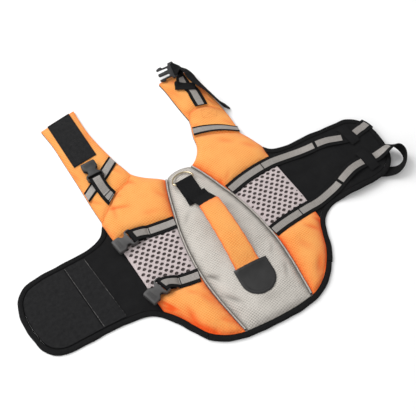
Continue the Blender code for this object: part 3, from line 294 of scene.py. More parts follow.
finishes = {
    # each dobby cloth's third colour is its painted shade colour
    "orangeDobby": dobbyCloth("orangeDobby", (1.0, 0.465, 0.125), (0.94, 0.235, 0.028), (0.92, 0.10, 0.005),
                              dobbyWeave),
    "greyDobby": dobbyCloth("greyDobby", (0.68, 0.64, 0.585), (0.34, 0.315, 0.28), (0.15, 0.135, 0.12),
                            dobbyWeave),
    "meshKnit": meshKnit(),
    "blackCloth": plainBlack("blackCloth", (0.005, 0.005, 0.0055), (0.014, 0.014, 0.0145), 0.85, 0.9, 0.15),
    "meshLining": plainBlack("meshLining", (0.065, 0.052, 0.05), (0.145, 0.118, 0.114), 0.9, 0.9, 0.15),
    "loopPile": plainBlack("loopPile", (0.005, 0.005, 0.0055), (0.026, 0.026, 0.027), 0.95, 1.3, 0.45, 1.0),
    "ribbedWebbing": ribbedWebbing(),
    "reflectiveTape": reflectiveTape(),
    "mouldedPlastic": mouldedPlastic("mouldedPlastic", (0.03, 0.029, 0.029), (0.056, 0.054, 0.053), 0.4),
    "chestPlastic": mouldedPlastic("chestPlastic", (0.012, 0.012, 0.012), (0.026, 0.025, 0.025), 0.35),
    "plugPlastic": mouldedPlastic("plugPlastic", (0.008, 0.008, 0.009), (0.02, 0.02, 0.021), 0.3),
    "coatedVinyl": coatedVinyl(),
    "platedRing": platedRing(),
    "orangeThread": sewingThread("orangeThread", (0.9, 0.2, 0.03)),
    "greyThread": sewingThread("greyThread", (0.27, 0.265, 0.255)),
    "blackThread": sewingThread("blackThread", (0.012, 0.012, 0.012)),
}
print("finishes mixed")


# lines in plan

def curveBetween(s, start, leave, end, arrive):
    # from start to end, with the way and speed at each end
    return ((2 * s**3 - 3 * s**2 + 1) * start + (s**3 - 2 * s**2 + s) * leave
            + (3 * s**2 - 2 * s**3) * end + (s**3 - s**2) * arrive)


def smoothLine(points, spacing=1.0):
    pts = np.array(points, float)
    chord = np.linalg.norm(np.diff(pts[:, :3], axis=0), axis=1)
    slope = np.gradient(pts, np.concatenate(([0.0], np.cumsum(chord))), axis=0)
    dense = []
    for i, span in enumerate(chord):
        s = np.linspace(0, 1, max(2, int(span / spacing) + 1))[:, None]
        dense.append(curveBetween(s, pts[i], span * slope[i], pts[i + 1], span * slope[i + 1]))
    return np.vstack([dense[0]] + [d[1:] for d in dense[1:]])


def runOf(line):
    return np.concatenate(([0.0], np.cumsum(np.linalg.norm(np.diff(line[:, :3], axis=0), axis=1))))


def resample(line, count):
    run = runOf(line)
    marks = np.linspace(0, run[-1], count + 1)
    return np.column_stack([np.interp(marks, run, line[:, k]) for k in range(line.shape[1])])


def countFor(line, spacing):
    return max(2, int(round(runOf(line)[-1] / spacing)))


def nearestOn(line, point):
    return int(np.argmin(np.linalg.norm(line[:, :2] - np.array(point)[:2], axis=1)))


def between(line, start, end):
    a, b = nearestOn(line, start), nearestOn(line, end)
    part = line[a:b + 1] if a <= b else line[b:a + 1][::-1]
    return np.vstack([[start], part[1:-1], [end]])


def meetOf(first, second):
    away = np.linalg.norm(first[:, None, :] - second[None, :, :], axis=2)
    i, j = np.unravel_index(np.argmin(away), away.shape)
    return (first[i] + second[j]) / 2


def beside(line, distance):
    run = np.gradient(line, axis=0)
    run /= np.linalg.norm(run, axis=1)[:, None]
    return line + distance * np.column_stack((-run[:, 1], run[:, 0]))


def joined(*lines):
    return np.vstack([lines[0]] + [line[1:] for line in lines[1:]])


def shared(first, second, count):
    share = runOf(first)[-1] / (runOf(first)[-1] + runOf(second)[-1])
    head = min(count - 1, max(1, int(round(count * share))))
    return joined(resample(first, head), resample(second, count - head))


def easeStep(value, low, high):
    s = np.clip((np.asarray(value, float) - low) / (high - low), 0, 1)
    return s * s * (3 - 2 * s)


def fromTable(table, values):
    keys, results = zip(*table)
    return np.interp(values, keys, results)


def grain3(points, size, seed=0.0):
    flat = np.asarray(points, float).reshape(-1, points.shape[-1])
    values = [noise.noise(Vector((p[0] / size + seed, p[1] / size - seed, seed))) for p in flat]
    return np.array(values).reshape(points.shape[:-1])


# meshes

surfaces = []              # what later pieces may lie on


def addPiece(name, verts, faces, finish, node=None, uvs=None, fold=None, sharp=45, carries=True,
             body="garment", under=None):
    mesh = bpy.data.meshes.new(name)
    verts = np.asarray(verts, float)
    mesh.from_pydata((verts * mm).tolist(), [], [tuple(int(k) for k in face) for face in faces])
    shape = bmesh.new()
    shape.from_mesh(mesh)
    bmesh.ops.recalc_face_normals(shape, faces=shape.faces)
    shape.to_mesh(mesh)
    if carries:
        surfaces.append((verts[:, :2].min(0) - 1, verts[:, :2].max(0) + 1, BVHTree.FromBMesh(shape)))
    shape.free()
    uvs = verts[:, :2] if uvs is None else np.asarray(uvs, float)
    layer = mesh.uv_layers.new(name="cloth")
    picks = np.empty(len(mesh.loops), int)
    mesh.loops.foreach_get("vertex_index", picks)
    layer.data.foreach_set("uv", (uvs * mm)[picks].ravel())
    # fold is the painted shade mask, 0 to 1 at each point
    if fold is not None:
        mesh.attributes.new("fold", "FLOAT", "POINT").data.foreach_set("value", np.clip(fold, 0, 1))
    mesh.shade_smooth()
    mesh.set_sharp_from_angle(angle=math.radians(sharp))
    mesh.materials.append(finishes[finish])
    if under is not None:              # the faces from under[1] on have the lining's finish
        mesh.materials.append(finishes[under[0]])
        lined = np.arange(len(mesh.polygons)) >= under[1]
        mesh.polygons.foreach_set("material_index", lined.astype(np.int32))
    piece = bpy.data.objects.new(name, mesh)
    scene.collection.objects.link(piece)
    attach(piece, body)
    if node:
        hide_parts(node)
    return piece


def topAt(x, y):
    top = 0.0
    start = Vector((x * mm, y * mm, 200 * mm))
    for low, high, tree in surfaces:
        if low[0] < x < high[0] and low[1] < y < high[1]:
            hit = tree.ray_cast(start, Vector((0, 0, -1)))[0]
            if hit is not None:
                top = max(top, hit.z / mm)
    return top


def topsAt(points):
    flat = points.reshape(-1, points.shape[-1])
    return np.array([topAt(p[0], p[1]) for p in flat]).reshape(points.shape[:-1])


def gridFaces(n, m, start=0):
    ids = start + np.arange(n * m).reshape(n, m)
    quads = np.stack([ids[:-1, :-1], ids[1:, :-1], ids[1:, 1:], ids[:-1, 1:]], axis=-1)
    return [tuple(q) for q in quads.reshape(-1, 4)]


def rimOf(n, m):
    ids = np.arange(n * m).reshape(n, m)
    return list(ids[:-1, 0]) + list(ids[-1, :-1]) + list(ids[:0:-1, -1]) + list(ids[0, :0:-1])


def rimPoints(plan):
    return plan.reshape(-1, 2)[rimOf(*plan.shape[:2])]


def signedArea(loop):
    following = np.roll(loop, -1, axis=0)
    return np.sum(loop[:, 0] * following[:, 1] - following[:, 0] * loop[:, 1]) / 2


def wallFaces(upper, lower):
    count = len(upper)
    return [(upper[k], upper[(k + 1) % count], lower[(k + 1) % count], lower[k]) for k in range(count)]


def tubeFaces(rows, around, closed=False):
    # quads along a tube, and a face at each end where it doesn't close on itself
    faces = [(i * around + j, i * around + (j + 1) % around, (i + 1) % rows * around + (j + 1) % around,
              (i + 1) % rows * around + j) for i in range(rows - (not closed)) for j in range(around)]
    caps = [tuple(range(around)), tuple((rows - 1) * around + j for j in range(around))]
    return faces if closed else faces + caps


def withHeight(plan, z):
    return np.concatenate([plan, z[..., None]], axis=2)


def neighboursMean(z):
    padded = np.pad(z, 1, mode="edge")
    return (padded[:-2, 1:-1] + padded[2:, 1:-1] + padded[1:-1, :-2] + padded[1:-1, 2:]) / 4


def fourSided(bottom, right, top, left):
    u = np.linspace(0, 1, len(bottom))[:, None, None]
    v = np.linspace(0, 1, len(left))[None, :, None]
    corners = ((1 - u) * (1 - v) * bottom[0] + u * (1 - v) * bottom[-1]
               + (1 - u) * v * top[0] + u * v * top[-1])
    return ((1 - v) * bottom[:, None, :] + v * top[:, None, :]
            + (1 - u) * left[None, :, :] + u * right[None, :, :] - corners)


def drawIn(grid, distance=seamInset):
    # moves the rim in by the distance, square to its edges
    ids = rimOf(*grid.shape[:2])
    flat = grid.reshape(-1, 2)
    loop = flat[ids]
    turn = 1.0 if signedArea(loop) > 0 else -1.0
    edge = np.roll(loop, -1, axis=0) - loop
    normal = np.column_stack((-edge[:, 1], edge[:, 0])) / np.linalg.norm(edge, axis=1)[:, None]
    before = np.roll(normal, 1, axis=0)
    mitre = np.maximum(0.35, 1 + np.sum(normal * before, axis=1))[:, None]
    flat[ids] += turn * distance * (normal + before) / mitre
    return grid


def swell(distance, margin, reach):
    s = np.clip((distance - margin) / reach, 0, 1)
    return np.sqrt(1 - (1 - s)**2)


def awayFrom(line, points):
    # each point's distance to the line, and how far along the line that is
    flat, shape = points.reshape(-1, 2), points.shape[:-1]
    nearest, where = [], []
    for chunk in np.array_split(flat, max(1, len(flat) // 2500)):
        away = np.linalg.norm(chunk[:, None, :] - line[None, :, :], axis=2)
        nearest.append(away.min(axis=1))
        where.append(away.argmin(axis=1))
    run = runOf(line)
    return np.concatenate(nearest).reshape(shape), run[np.concatenate(where)].reshape(shape)


def creaseShape(points, creases):
    height = np.zeros(points.shape[:-1])
    for x0, y0, x1, y1, wide, deep in creases:
        start, way = np.array((x0, y0)), np.array((x1 - x0, y1 - y0), float)
        t = np.clip(((points - start) @ way) / (way @ way), 0, 1)
        away = np.linalg.norm(points - (start + t[..., None] * way), axis=-1)
        height += deep * np.exp(-(away / wide)**2) * np.sin(np.pi * np.clip(0.12 + 0.76 * t, 0, 1))
    return height


liningFlare = 0.5          # the lining stands out this far round the foam


def closedPanel(name, grid, low, top, finish, node, fold=None, sharp=50, lining=None):
    n, m = grid.shape[:2]
    rim = rimOf(n, m)
    upper = withHeight(grid, top).reshape(-1, 3)
    base = withHeight(grid, low).reshape(-1, 3)
    flatBase = np.ptp(low) < 1e-6
    if flatBase:                       # one face closes a flat underside
        base = base[rim]
        baseIds = [len(upper) + k for k in range(len(rim))]
        faces = gridFaces(n, m) + [tuple(baseIds)]
    else:
        baseIds = [len(upper) + k for k in rim]
        faces = gridFaces(n, m) + gridFaces(n, m, len(upper))
    parts, wallTop, under = [upper, base], rim, None
    if lining is not None:             # the lining comes up round the foam to this height
        flare = rimPoints(drawIn(grid.copy(), -liningFlare))
        parts = [upper] + [np.column_stack([flare, z]) for z in (base[:, 2], np.full(len(rim), lining))]
        wallTop = [len(upper) + len(base) + k for k in range(len(rim))]
        faces[-1:] = wallFaces(rim, wallTop) + faces[-1:]
        under = ("blackCloth", len(faces) - 1)
    faces += wallFaces(wallTop, baseIds)
    verts = np.concatenate(parts)
    shade = None
    # the painted shade mask, carried on to the underside
    if fold is not None:
        flat = fold.reshape(-1)
        shade = np.zeros(len(verts))
        shaded = np.concatenate([flat, flat[rim] if flatBase else flat])
        shade[:len(shaded)] = shaded
    return addPiece(name, verts, faces, finish, node, fold=shade, sharp=sharp, under=under)


def padHeight(points, edges, crown, look):
    rise, shade = np.ones(points.shape[:-1]), np.zeros(points.shape[:-1])
    pucker = np.zeros(points.shape[:-1])
    for k, (line, margin, reach) in enumerate(edges):
        away, along = awayFrom(resample(line, 240), points)
        rise *= swell(away, margin, reach)
        phase = along / look["puckerPitch"] * 2 * np.pi + 2.2 * np.sin(along / 23.0 + k) + k
        fade = np.exp(-away / look["puckerReach"]) * (1 - np.exp(-away / 1.5))
        pucker += look["pucker"] * fade * np.sin(phase)
        # painted shade: darker near each edge by that edge's amount, fading over the reach, and darker again
        # in the creases
        shade = np.maximum(shade, look["paintedEdgeShade"][k] * np.exp(-np.maximum(0, away - 0.5) / look["paintedShadeReach"]))
    creased = creaseShape(points, look["creases"])
    shade += np.clip(-creased * 0.3, 0, 0.75)
    soft = look["soft"] * (0.5 * grain3(points, 38, 3.1) + 0.22 * grain3(points, 15, 7.7))
    height = look["seam"] + crown * rise + pucker + (creased + soft) * np.minimum(1, 3 * rise)
    return np.maximum(height, look["seam"] - 0.8), shade


def foamPad(name, node, edges, crown, finish, look):
    grid = drawIn(fourSided(*[edge[0] for edge in edges]))
    height, shade = padHeight(grid, edges, crown, look)
    piece = closedPanel(name, grid, np.zeros_like(height), height, finish, node, shade,
                        lining=look.get("lining"))


def settle(plan, gap=lieGap, rounds=50):
    # heights of a strip on what is under it: pulled smooth, but never below that
    down = topsAt(plan) + gap
    padded = np.pad(down, 1, mode="edge")
    n, m = down.shape
    near = np.max([padded[i:i + n, j:j + m] for i in range(3) for j in range(3)], axis=0)
    down = 0.4 * down + 0.6 * near
    z = down
    for _ in range(rounds):
        z = np.maximum(neighboursMean(z), down)
    return z


def rowsAcross(line, width, columns=stripColumns):
    return np.stack([beside(line, d) for d in np.linspace(-width / 2, width / 2, columns)], axis=1)


def rowsFrom(first, second):
    return np.stack([first + (second - first) * share for share in np.linspace(0, 1, stripColumns)], axis=1)


def normalsOf(points):
    normal = np.cross(np.gradient(points, axis=0), np.gradient(points, axis=1))
    return normal / np.maximum(1e-9, np.linalg.norm(normal, axis=2))[..., None]


def middleOf(points):
    return points[:, points.shape[1] // 2]


# cross-section of a woven strip: place across, share of its thickness
stripSection = [(-0.975, 0.04), (-0.5, 0), (0, 0), (0.5, 0), (0.975, 0.04), (1, 0.3), (1, 0.7), (0.97, 0.95),
                (0.9, 1), (0.6, 1), (0.3, 1), (0, 1), (-0.3, 1), (-0.6, 1), (-0.9, 1), (-0.97, 0.95),
                (-1, 0.7), (-1, 0.3)]


def stripPiece(name, node, points, thick, finish):
    n, m = points.shape[:2]
    places, shares = np.array(stripSection).T
    weights = np.array([np.interp(places, np.linspace(-1, 1, m), row) for row in np.eye(m)]).T
    spots = np.einsum("km,nmd->nkd", weights, points)
    normals = np.einsum("km,nmd->nkd", weights, normalsOf(points))
    normals /= np.maximum(1e-9, np.linalg.norm(normals, axis=2))[..., None]
    verts = spots + normals * (thick * shares)[None, :, None]
    run = runOf(middleOf(points))
    half = np.linalg.norm(points[:, -1] - points[:, 0], axis=1).mean() / 2
    uvs = np.stack(np.broadcast_arrays(run[:, None], (places * half)[None, :]), axis=2)
    piece = addPiece(name, verts.reshape(-1, 3), tubeFaces(n, len(places)), finish, node, uvs.reshape(-1, 2))
    piece["cut"] = (2 * half, float(run[-1]))
    return piece


def webbingPiece(name, node, points):
    return stripPiece(name, node, points, jacket["webbingThick"], "ribbedWebbing")


def rowsBetween(points, guide, start, end):
    run = runOf(middleOf(guide))
    marks = [start] + [d for d in run if start + 0.3 < d < end - 0.3] + [min(end, run[-1])]
    flat = points.reshape(len(points), -1)
    rows = [np.interp(marks, run, flat[:, k]) for k in range(flat.shape[1])]
    return np.stack(rows, axis=1).reshape(len(marks), *points.shape[1:])


def narrowed(points, share, columns=5):
    place = np.linspace(0, 1, points.shape[1])
    wanted = np.linspace(0.5 - share / 2, 0.5 + share / 2, columns)
    weights = np.array([np.interp(wanted, place, row) for row in np.eye(points.shape[1])]).T
    return np.einsum("km,nmd->nkd", weights, points)


def sewTape(name, node, strip, start, end, under=jacket["webbingThick"], share=0.5):
    raised = strip + normalsOf(strip) * (under + 0.1)
    rows = narrowed(rowsBetween(raised, strip, start, end), share)
    return stripPiece(name, node, rows, jacket["tapeThick"], "reflectiveTape")


def reachOf(strip, place, axis=0):
    middle = middleOf(strip)
    return float(runOf(middle)[int(np.argmin(np.abs(middle[:, axis] - place)))])


# stitches are gathered by thread and made into one mesh for each at the end
stitches = {"orangeThread": [], "greyThread": [], "blackThread": []}


def sewStitch(thread, start, end, radius=0.28):
    stitches[thread].append((np.array(start, float), np.array(end, float), radius))


def sewRow(thread, line, pitch=3.2, length=2.3, radius=0.28, lift=0.05):
    run = runOf(line)
    for mark in np.arange(pitch / 2, run[-1] - length, pitch):
        ends = [np.array([np.interp(mark + d, run, line[:, k]) for k in (0, 1)]) for d in (0, length)]
        sewStitch(thread, *[(*spot, topAt(*spot) + lift) for spot in ends], radius)


tack = {"width": 23.0, "count": 26, "radius": 0.42, "lift": 0.12}


def sewRound(plan, share, *row):
    # a row of stitches round a patch, drawn in towards its middle
    rim = rimPoints(plan)
    centre = rim.mean(0)
    sewRow("blackThread", centre + (np.vstack([rim, rim[:1]]) - centre) * share, *row)


def barTack(strip, distance, long=1.7, thick=2.15):
    # dense short stitches across a strap, where it is sewn down
    raised = strip + normalsOf(strip) * (thick + tack["lift"])
    rows = [narrowed(rowsBetween(raised, strip, distance + d, distance + d + 0.6), 1.0, 3)[0]
            for d in (-long / 2, long / 2)]
    for across in np.linspace(-tack["width"] / 2, tack["width"] / 2, tack["count"]):
        share = across / np.linalg.norm(rows[0][-1] - rows[0][0])
        sewStitch("blackThread", *[row[1] + (row[-1] - row[0]) * share for row in rows], tack["radius"])


print("tools laid out")


# lines that several pieces share: the same as the solids are cut to

backSeam = [(160, 27), (142, 35), (122, 42), (93, 51), (69, 58.5), (20, 69), (-18, 73.5),
            (-44, 75), (-88, 73), (-124, 69), (-166, 63.5)]
neckEdge = [(-27, 160), (-14, 165), (0, 166.5), (14, 164.5), (27, 160)]
outerLine = [(-171, 141), (-183, 126), (-196, 119.5), (-214, 116.5), (-262, 116), (-316, 116), (-343, 110),
             (-360, 95), (-369, 72), (-371.5, 45), (-369.5, 18), (-364, -4), (-352, -21), (-334, -31),
             (-302, -34.5), (-262, -36.5), (-225, -40), (-200, -44), (-183, -50), (-167, -65), (-152, -86),
             (-141, -108), (-126, -134), (-105, -152), (-75, -165.5), (-43, -171), (0, -175.5), (45, -176),
             (76, -172), (105, -157), (130, -133), (147, -108), (157, -85), (168, -63), (184, -49),
             (203, -43.5), (226, -44), (260, -47), (293, -49), (314, -47), (334, -37), (348, -19),
             (354, 6), (355, 35), (350.5, 60), (339.5, 76.5), (323.5, 87.5), (301.5, 91.5), (259, 96),
             (212, 104), (194, 106.5), (178, 110.5), (168, 117), (161.5, 126)]
bodyEnd = {"left": [(-170.5, 141), (-169.5, 122), (-168.5, 104), (-166, 86), (-165, 55), (-164, 5),
                    (-163.5, -30), (-162, -62)],
           "right": [(161, 126), (159.5, 115), (159, 103), (159.5, 86), (161, 50), (163.5, 5),
                     (163.5, -30), (162, -62)]}
frontStrap = {"left": [(-50, 76), (-59, 77.5), (-85, 82), (-110, 87), (-125, 90), (-138, 91.5), (-172, 92)],
              "right": [(50, 78), (59, 79.5), (85, 84.5), (110, 87.5), (133, 88.5), (163, 87.5), (196, 82),
                        (229, 74), (266, 66), (288, 57.5), (307, 52), (336, 54.5), (352, 53)]}
rearStrap = {"left": [(-66, -34), (-75, -32), (-100, -26.5), (-122, -21), (-141, -16), (-172, -12)],
             "right": [(66, -33), (77, -31), (100, -28), (139, -26), (182, -25), (203, -22), (226, -18),
                       (243, -13), (269, -7), (291, -6), (306, -7), (328, -8), (346, -7)]}
neckCut = {"left": [(-27, 160), (-39, 171), (-57, 185), (-69, 197), (-76, 206)],
           "right": [(27, 160), (40, 168), (54, 183), (60, 194), (64, 211)]}
strapSeam = {"left": [(-76, 206), (-89, 195), (-114, 186), (-141, 168), (-168, 147)],
             "right": [(64, 211), (81, 205.5), (101, 198), (122, 187), (143, 173)]}
armholeLine = {"left": [(-168, 147), (-170, 144), (-170.5, 141)],
               "right": [(143, 173), (150, 158), (156, 141), (161, 126)]}

outer = smoothLine(outerLine)
inner = beside(outer, jacket["bindingWidth"])
seam = smoothLine([(half, y) for y, half in backSeam])
mirror = np.array((-1.0, 1.0))
padEdge = {"right": beside(seam, jacket["pipingWidth"] / 2)}
padEdge["left"] = padEdge["right"] * mirror
backEdge = {"right": beside(seam, -jacket["pipingWidth"] / 2)}
backEdge["left"] = backEdge["right"] * mirror
outerMiddle = nearestOn(outer, (0, -176))
tips = {"left": nearestOn(outer, (-371, 45)), "right": nearestOn(outer, (356, 20))}
frontPart = {"left": inner[:tips["left"]], "right": inner[tips["right"]:]}
rearPart = {"left": inner[tips["left"]:outerMiddle], "right": inner[outerMiddle:tips["right"]]}
ends = {side: smoothLine(bodyEnd[side]) for side in bodyEnd}
frontLine = {side: smoothLine(frontStrap[side]) for side in frontStrap}
rearLine = {side: smoothLine(rearStrap[side]) for side in rearStrap}
hip = {side: meetOf(rearPart[side], ends[side]) for side in ends}
armpit = {side: meetOf(frontPart[side], ends[side]) for side in ends}
rump = {side: meetOf(rearPart[side], padEdge[side]) for side in ends}


def flapFloor(x):
    return jacket["flapRise"] * easeStep(x, 205.0, 250.0)


# grey back panel

# creases are plan lines with their half width and depth; an edge's two numbers are its margin and slope
# in each look, the painted edge shade says how dark the painted shade is along each of the four edges, and
# how far in it reaches
backPanel = {"crown": 15.0, "seam": jacket["seamHeight"], "pucker": 0.75, "puckerPitch": 17, "puckerReach": 7,
             "fill": 0.7, "paintedEdgeShade": (0.7, 0.8, 0.5, 0.8), "paintedShadeReach": 3.2, "soft": 0.8,
             "cells": (60, 136), "rearEdge": (4, 45), "sideEdge": (3, 62), "neckEdge": (4, 50),
             "creases": [(-26, 138, -20, 118, 3.5, -1.0), (14, 152, 24, 140, 3.0, -1.1),
                         (-67.6, -41, -52, -56, 3.2, -1.8), (-67, -40.5, -54, -63, 2.6, -1.4),
                         (-64, -85, -44, -114, 4.0, -1.9), (-56, -73, -36, -92, 4.5, 0.9),
                         (58, -92, 44, -118, 4.0, -1.3), (60, -50, 48, -66, 3.4, -1.0),
                         (-48, 62, -30, 78, 5.0, -0.9), (44, 40, 30, 60, 6.0, -0.8),
                         (-20, -130, 24, -136, 7.0, -0.8), (20, 140, 30, 120, 4.0, -0.9),
                         (-40, 10, -30, 44, 6.0, 0.7), (-24, 150, -12, 130, 4.0, -0.9)]}


def sewBackPanel(look):
    corner = {side: meetOf(rearPart[side], backEdge[side]) for side in backEdge}
    neck = smoothLine(neckEdge)
    neck = np.vstack([backEdge["left"][:1], neck[4:-4], backEdge["right"][:1]])
    wide, long = look["cells"]
    rear = resample(between(inner, corner["left"], corner["right"]), wide)
    right, left = [resample(between(backEdge[s], corner[s], backEdge[s][0]), long) for s in ("right", "left")]
    edges = [(rear, *look["rearEdge"]), (right, *look["sideEdge"]), (resample(neck, wide), *look["neckEdge"]),
             (left, *look["sideEdge"])]
    foamPad("backPanelGrey", "back_panel", edges, look["crown"], "greyDobby", look)


sewBackPanel(backPanel)
print("back panel sewn")

# orange pads and the mesh panels of each side

sidePads = {
    "shoulder": {"crown": 9.0, "seam": jacket["seamHeight"], "pucker": 0.9, "puckerPitch": 15,
                 "puckerReach": 7, "fill": 0.65, "paintedEdgeShade": (0.85, 0.5, 0.28, 0.9), "paintedShadeReach": 6.0,
                 "soft": 1.0, "lining": 3.4},
    "hip": {"crown": 11.0, "seam": jacket["seamHeight"], "pucker": 0.9, "puckerPitch": 14, "puckerReach": 7,
            "fill": 0.65, "paintedEdgeShade": (0.8, 0.95, 0.95, 0.85), "paintedShadeReach": 8.0, "soft": 1.0},
    # margin and slope: where a belly strap lies over the seam, at an outer edge, at the piping
    "padEdges": {"strap": (13, 26), "outer": (2, 26), "armhole": (2, 24), "piping": (1.5, 26)},
    "meshEdges": {"strap": (13, 12), "outer": (2, 12), "piping": (1, 12)},
    "tall": 40, "hipTurn": (108, -137),
    "shoulderCreases": {"left": [(-145.8, 162.7, -114.4, 146.5, 3.4, -2.0),
                                 (-93, 201.7, -80.5, 181.3, 3.6, -1.6),
                                 (-135.9, 168.3, -143.2, 137.4, 4.4, -1.3), (-121, 182, -114, 170, 3.0, -1.0),
                                 (-60, 150, -48, 128, 5.0, -1.0), (-100, 120, -74, 112, 5.0, -0.9)],
                        "right": [(28.2, 150.9, 38.6, 130.8, 3.4, -1.8), (55.6, 106.5, 50.9, 97, 3.0, -1.4),
                                  (62, 100, 78, 112, 4.0, -1.0), (96, 180, 118, 160, 5.0, -1.2),
                                  (130, 150, 148, 128, 4.5, -1.2), (76, 168, 92, 148, 6.0, 0.8)]},
    "hipCreases": {"left": [(-157, -39.5, -141.5, -68.3, 2.8, -2.6), (-158.2, -50, -147.8, -64.3, 2.2, -2.0),
                            (-126.5, -72.3, -127.4, -107, 5.5, -1.8),
                            (-127.4, -107, -104.4, -136.5, 5.0, -1.5),
                            (-96, -60, -84, -92, 6.0, -1.1), (-110, -48, -100, -60, 4.0, -1.0),
                            (-92, -118, -76, -134, 5.0, -1.2)],
                   "right": [(77.9, -44.8, 71.8, -87.7, 4.0, -1.7), (128, -52, 146, -74, 4.0, -1.8),
                             (118, -112, 96, -138, 5.0, -1.4), (150, -48, 158, -60, 3.0, -1.6),
                             (100, -70, 112, -98, 7.0, -0.9)]},
    "mesh": {"crown": 2.5, "seam": jacket["seamHeight"], "pucker": 0.35, "puckerPitch": 16, "puckerReach": 6,
             "fill": 0.5, "paintedEdgeShade": (0, 0, 0, 0), "paintedShadeReach": 5.0, "soft": 0.7, "creases": [],
             "netThick": 1.5, "holePitch": 12.4, "rowPitch": 7.0, "holeHalf": (4.0, 3.25), "holeCorners": 10,
             "yarn": 0.7, "drift": 0.3, "leastRoom": 1.3, "holeShare": 0.85},
}


def netPanel(name, node, edges, look):
    # knitted mesh: every hole is cut through to the black lining under it
    grid = drawIn(fourSided(*[edge[0] for edge in edges]))
    rim = rimPoints(grid)
    if signedArea(rim) < 0:
        rim = rim[::-1]
    points, constraints = list(rim), [(k, (k + 1) % len(rim)) for k in range(len(rim))]
    half, corners = np.array(look["holeHalf"]), look["holeCorners"]
    hole = np.array([(1 - 0.12 * abs(math.sin(2 * a))) * half * (math.cos(a), math.sin(a))
                     for a in np.radians(np.arange(0, 360, 360 // corners))])
    low, high = rim.min(0), rim.max(0)
    centres, sizes = [], []            # holes are smaller where the edge is near
    for r, y in enumerate(np.arange(low[1] + 3, high[1] - 2, look["rowPitch"])):
        for x in np.arange(low[0] + 3 + (r % 2) * look["holePitch"] / 2, high[0] - 2, look["holePitch"]):
            sway = np.array((math.sin(x * 1.7 + y), math.cos(y * 1.3 - x)))
            centre = np.array((x, y)) + look["drift"] * sway
            room = np.linalg.norm(rim - centre, axis=1).min() - 1.0
            if room > look["leastRoom"] and insideOf(rim, centre):
                size = min(1.0, room / half[0])
                centres.append(centre)
                sizes.append(size)
                first = len(points)
                points += list(centre + size * hole)
                constraints += [(first + k, first + (k + 1) % corners) for k in range(corners)]
    centres, sizes = np.array(centres), np.array(sizes)
    for spot in grid.reshape(-1, 2)[::3]:
        away = np.linalg.norm((centres - spot) / (half + look["yarn"]), axis=1).min()
        if away > 1 and np.linalg.norm(rim - spot, axis=1).min() > 1.5:
            points.append(spot)
    filled = delaunay_2d_cdt([Vector(p) for p in points], constraints, [list(range(len(rim)))], 1, 1e-4)
    spots, faces = np.array([tuple(v) for v in filled[0]]), filled[2]
    middles = np.array([spots[list(f)].mean(0) for f in faces])
    inHole = (np.linalg.norm((middles[:, None] - centres[None]) / half, axis=2) < 0.93 * sizes).any(1)
    faces = [tuple(f) for f, isOpen in zip(faces, inHole) if not isOpen]
    height = padHeight(spots, edges, look["crown"], look)[0]
    count = len(spots)
    verts = np.concatenate([np.column_stack((spots, height - drop)) for drop in (0, look["netThick"])])
    uses = {}                          # an edge that only one face uses gets a wall
    for face in faces:
        for a, b in zip(face, face[1:] + face[:1]):
            uses.setdefault((min(a, b), max(a, b)), []).append((a, b))
    walls = [(b, a, a + count, b + count) for (a, b), in [u for u in uses.values() if len(u) == 1]]
    faces = faces + [tuple(v + count for v in face[::-1]) for face in faces] + walls
    net = addPiece(name, verts, faces, "meshKnit", node)
    lining = closedPanel(name + "Lining", grid, np.zeros(grid.shape[:2]),
                         padHeight(grid, edges, look["crown"], look)[0] - look["netThick"] - 0.8,
                         "meshLining", None)
    area = signedArea(rim) - np.sum(sizes**2) * math.pi * half.prod() * look["holeShare"]


def insideOf(loop, spot):
    a, b = loop, np.roll(loop, -1, axis=0)
    crosses = (a[:, 1] > spot[1]) != (b[:, 1] > spot[1])
    with np.errstate(divide="ignore", invalid="ignore"):
        at = a[:, 0] + (spot[1] - a[:, 1]) / (b[:, 1] - a[:, 1]) * (b[:, 0] - a[:, 0])
    return bool(np.sum(crosses & (spot[0] < at)) % 2)


def sewSidePads(side, looks):
    edge, end, front, rear = padEdge[side], ends[side], frontLine[side], rearLine[side]
    frontIn, frontOut = meetOf(front, edge), meetOf(front, end)
    rearIn, rearOut = meetOf(rear, edge), meetOf(rear, end)
    count = countFor(between(front, frontIn, frontOut), jacket["cell"])
    band = resample(between(front, frontIn, frontOut), count)
    rearBand = resample(between(rear, rearIn, rearOut), count)
    label, tall, pad, mesh = side.capitalize(), looks["tall"], looks["padEdges"], looks["meshEdges"]

    neck = smoothLine(neckCut[side])
    neck[0] = edge[0]
    top = shared(neck, smoothLine(strapSeam[side]), count)
    armhole = joined(between(end, frontOut, end[0]), smoothLine(armholeLine[side])[::-1])
    edges = [(band, *pad["strap"]), (resample(armhole, tall), *pad["armhole"]), (top, *pad["armhole"]),
             (resample(between(edge, frontIn, edge[0]), tall), *pad["piping"])]
    foamPad("shoulder" + label, "shoulder_" + side, edges, looks["shoulder"]["crown"], "orangeDobby",
            {**looks["shoulder"], "creases": looks["shoulderCreases"][side]})

    deep = countFor(between(edge, rearIn, frontIn), jacket["cell"])
    edges = [(rearBand, *mesh["strap"]), (resample(between(end, rearOut, frontOut), deep), *mesh["outer"]),
             (band, *mesh["strap"]), (resample(between(edge, rearIn, frontIn), deep), *mesh["piping"])]
    netPanel("mesh" + label, "mesh_" + side, edges, looks["mesh"])

    turn = inner[nearestOn(inner, np.array(looks["hipTurn"]) * (mirror if side == "left" else 1))]
    outside = joined(between(inner, turn, hip[side]), between(end, hip[side], rearOut))
    long = countFor(between(edge, rump[side], rearIn), jacket["cell"])
    edges = [(resample(between(inner, rump[side], turn), count), *pad["outer"]),
             (resample(outside, long), *pad["outer"]), (rearBand, *pad["strap"]),
             (resample(between(edge, rump[side], rearIn), long), *pad["piping"])]
    foamPad("hip" + label, "hip_" + side, edges, looks["hip"]["crown"], "orangeDobby",
            {**looks["hip"], "creases": looks["hipCreases"][side]})


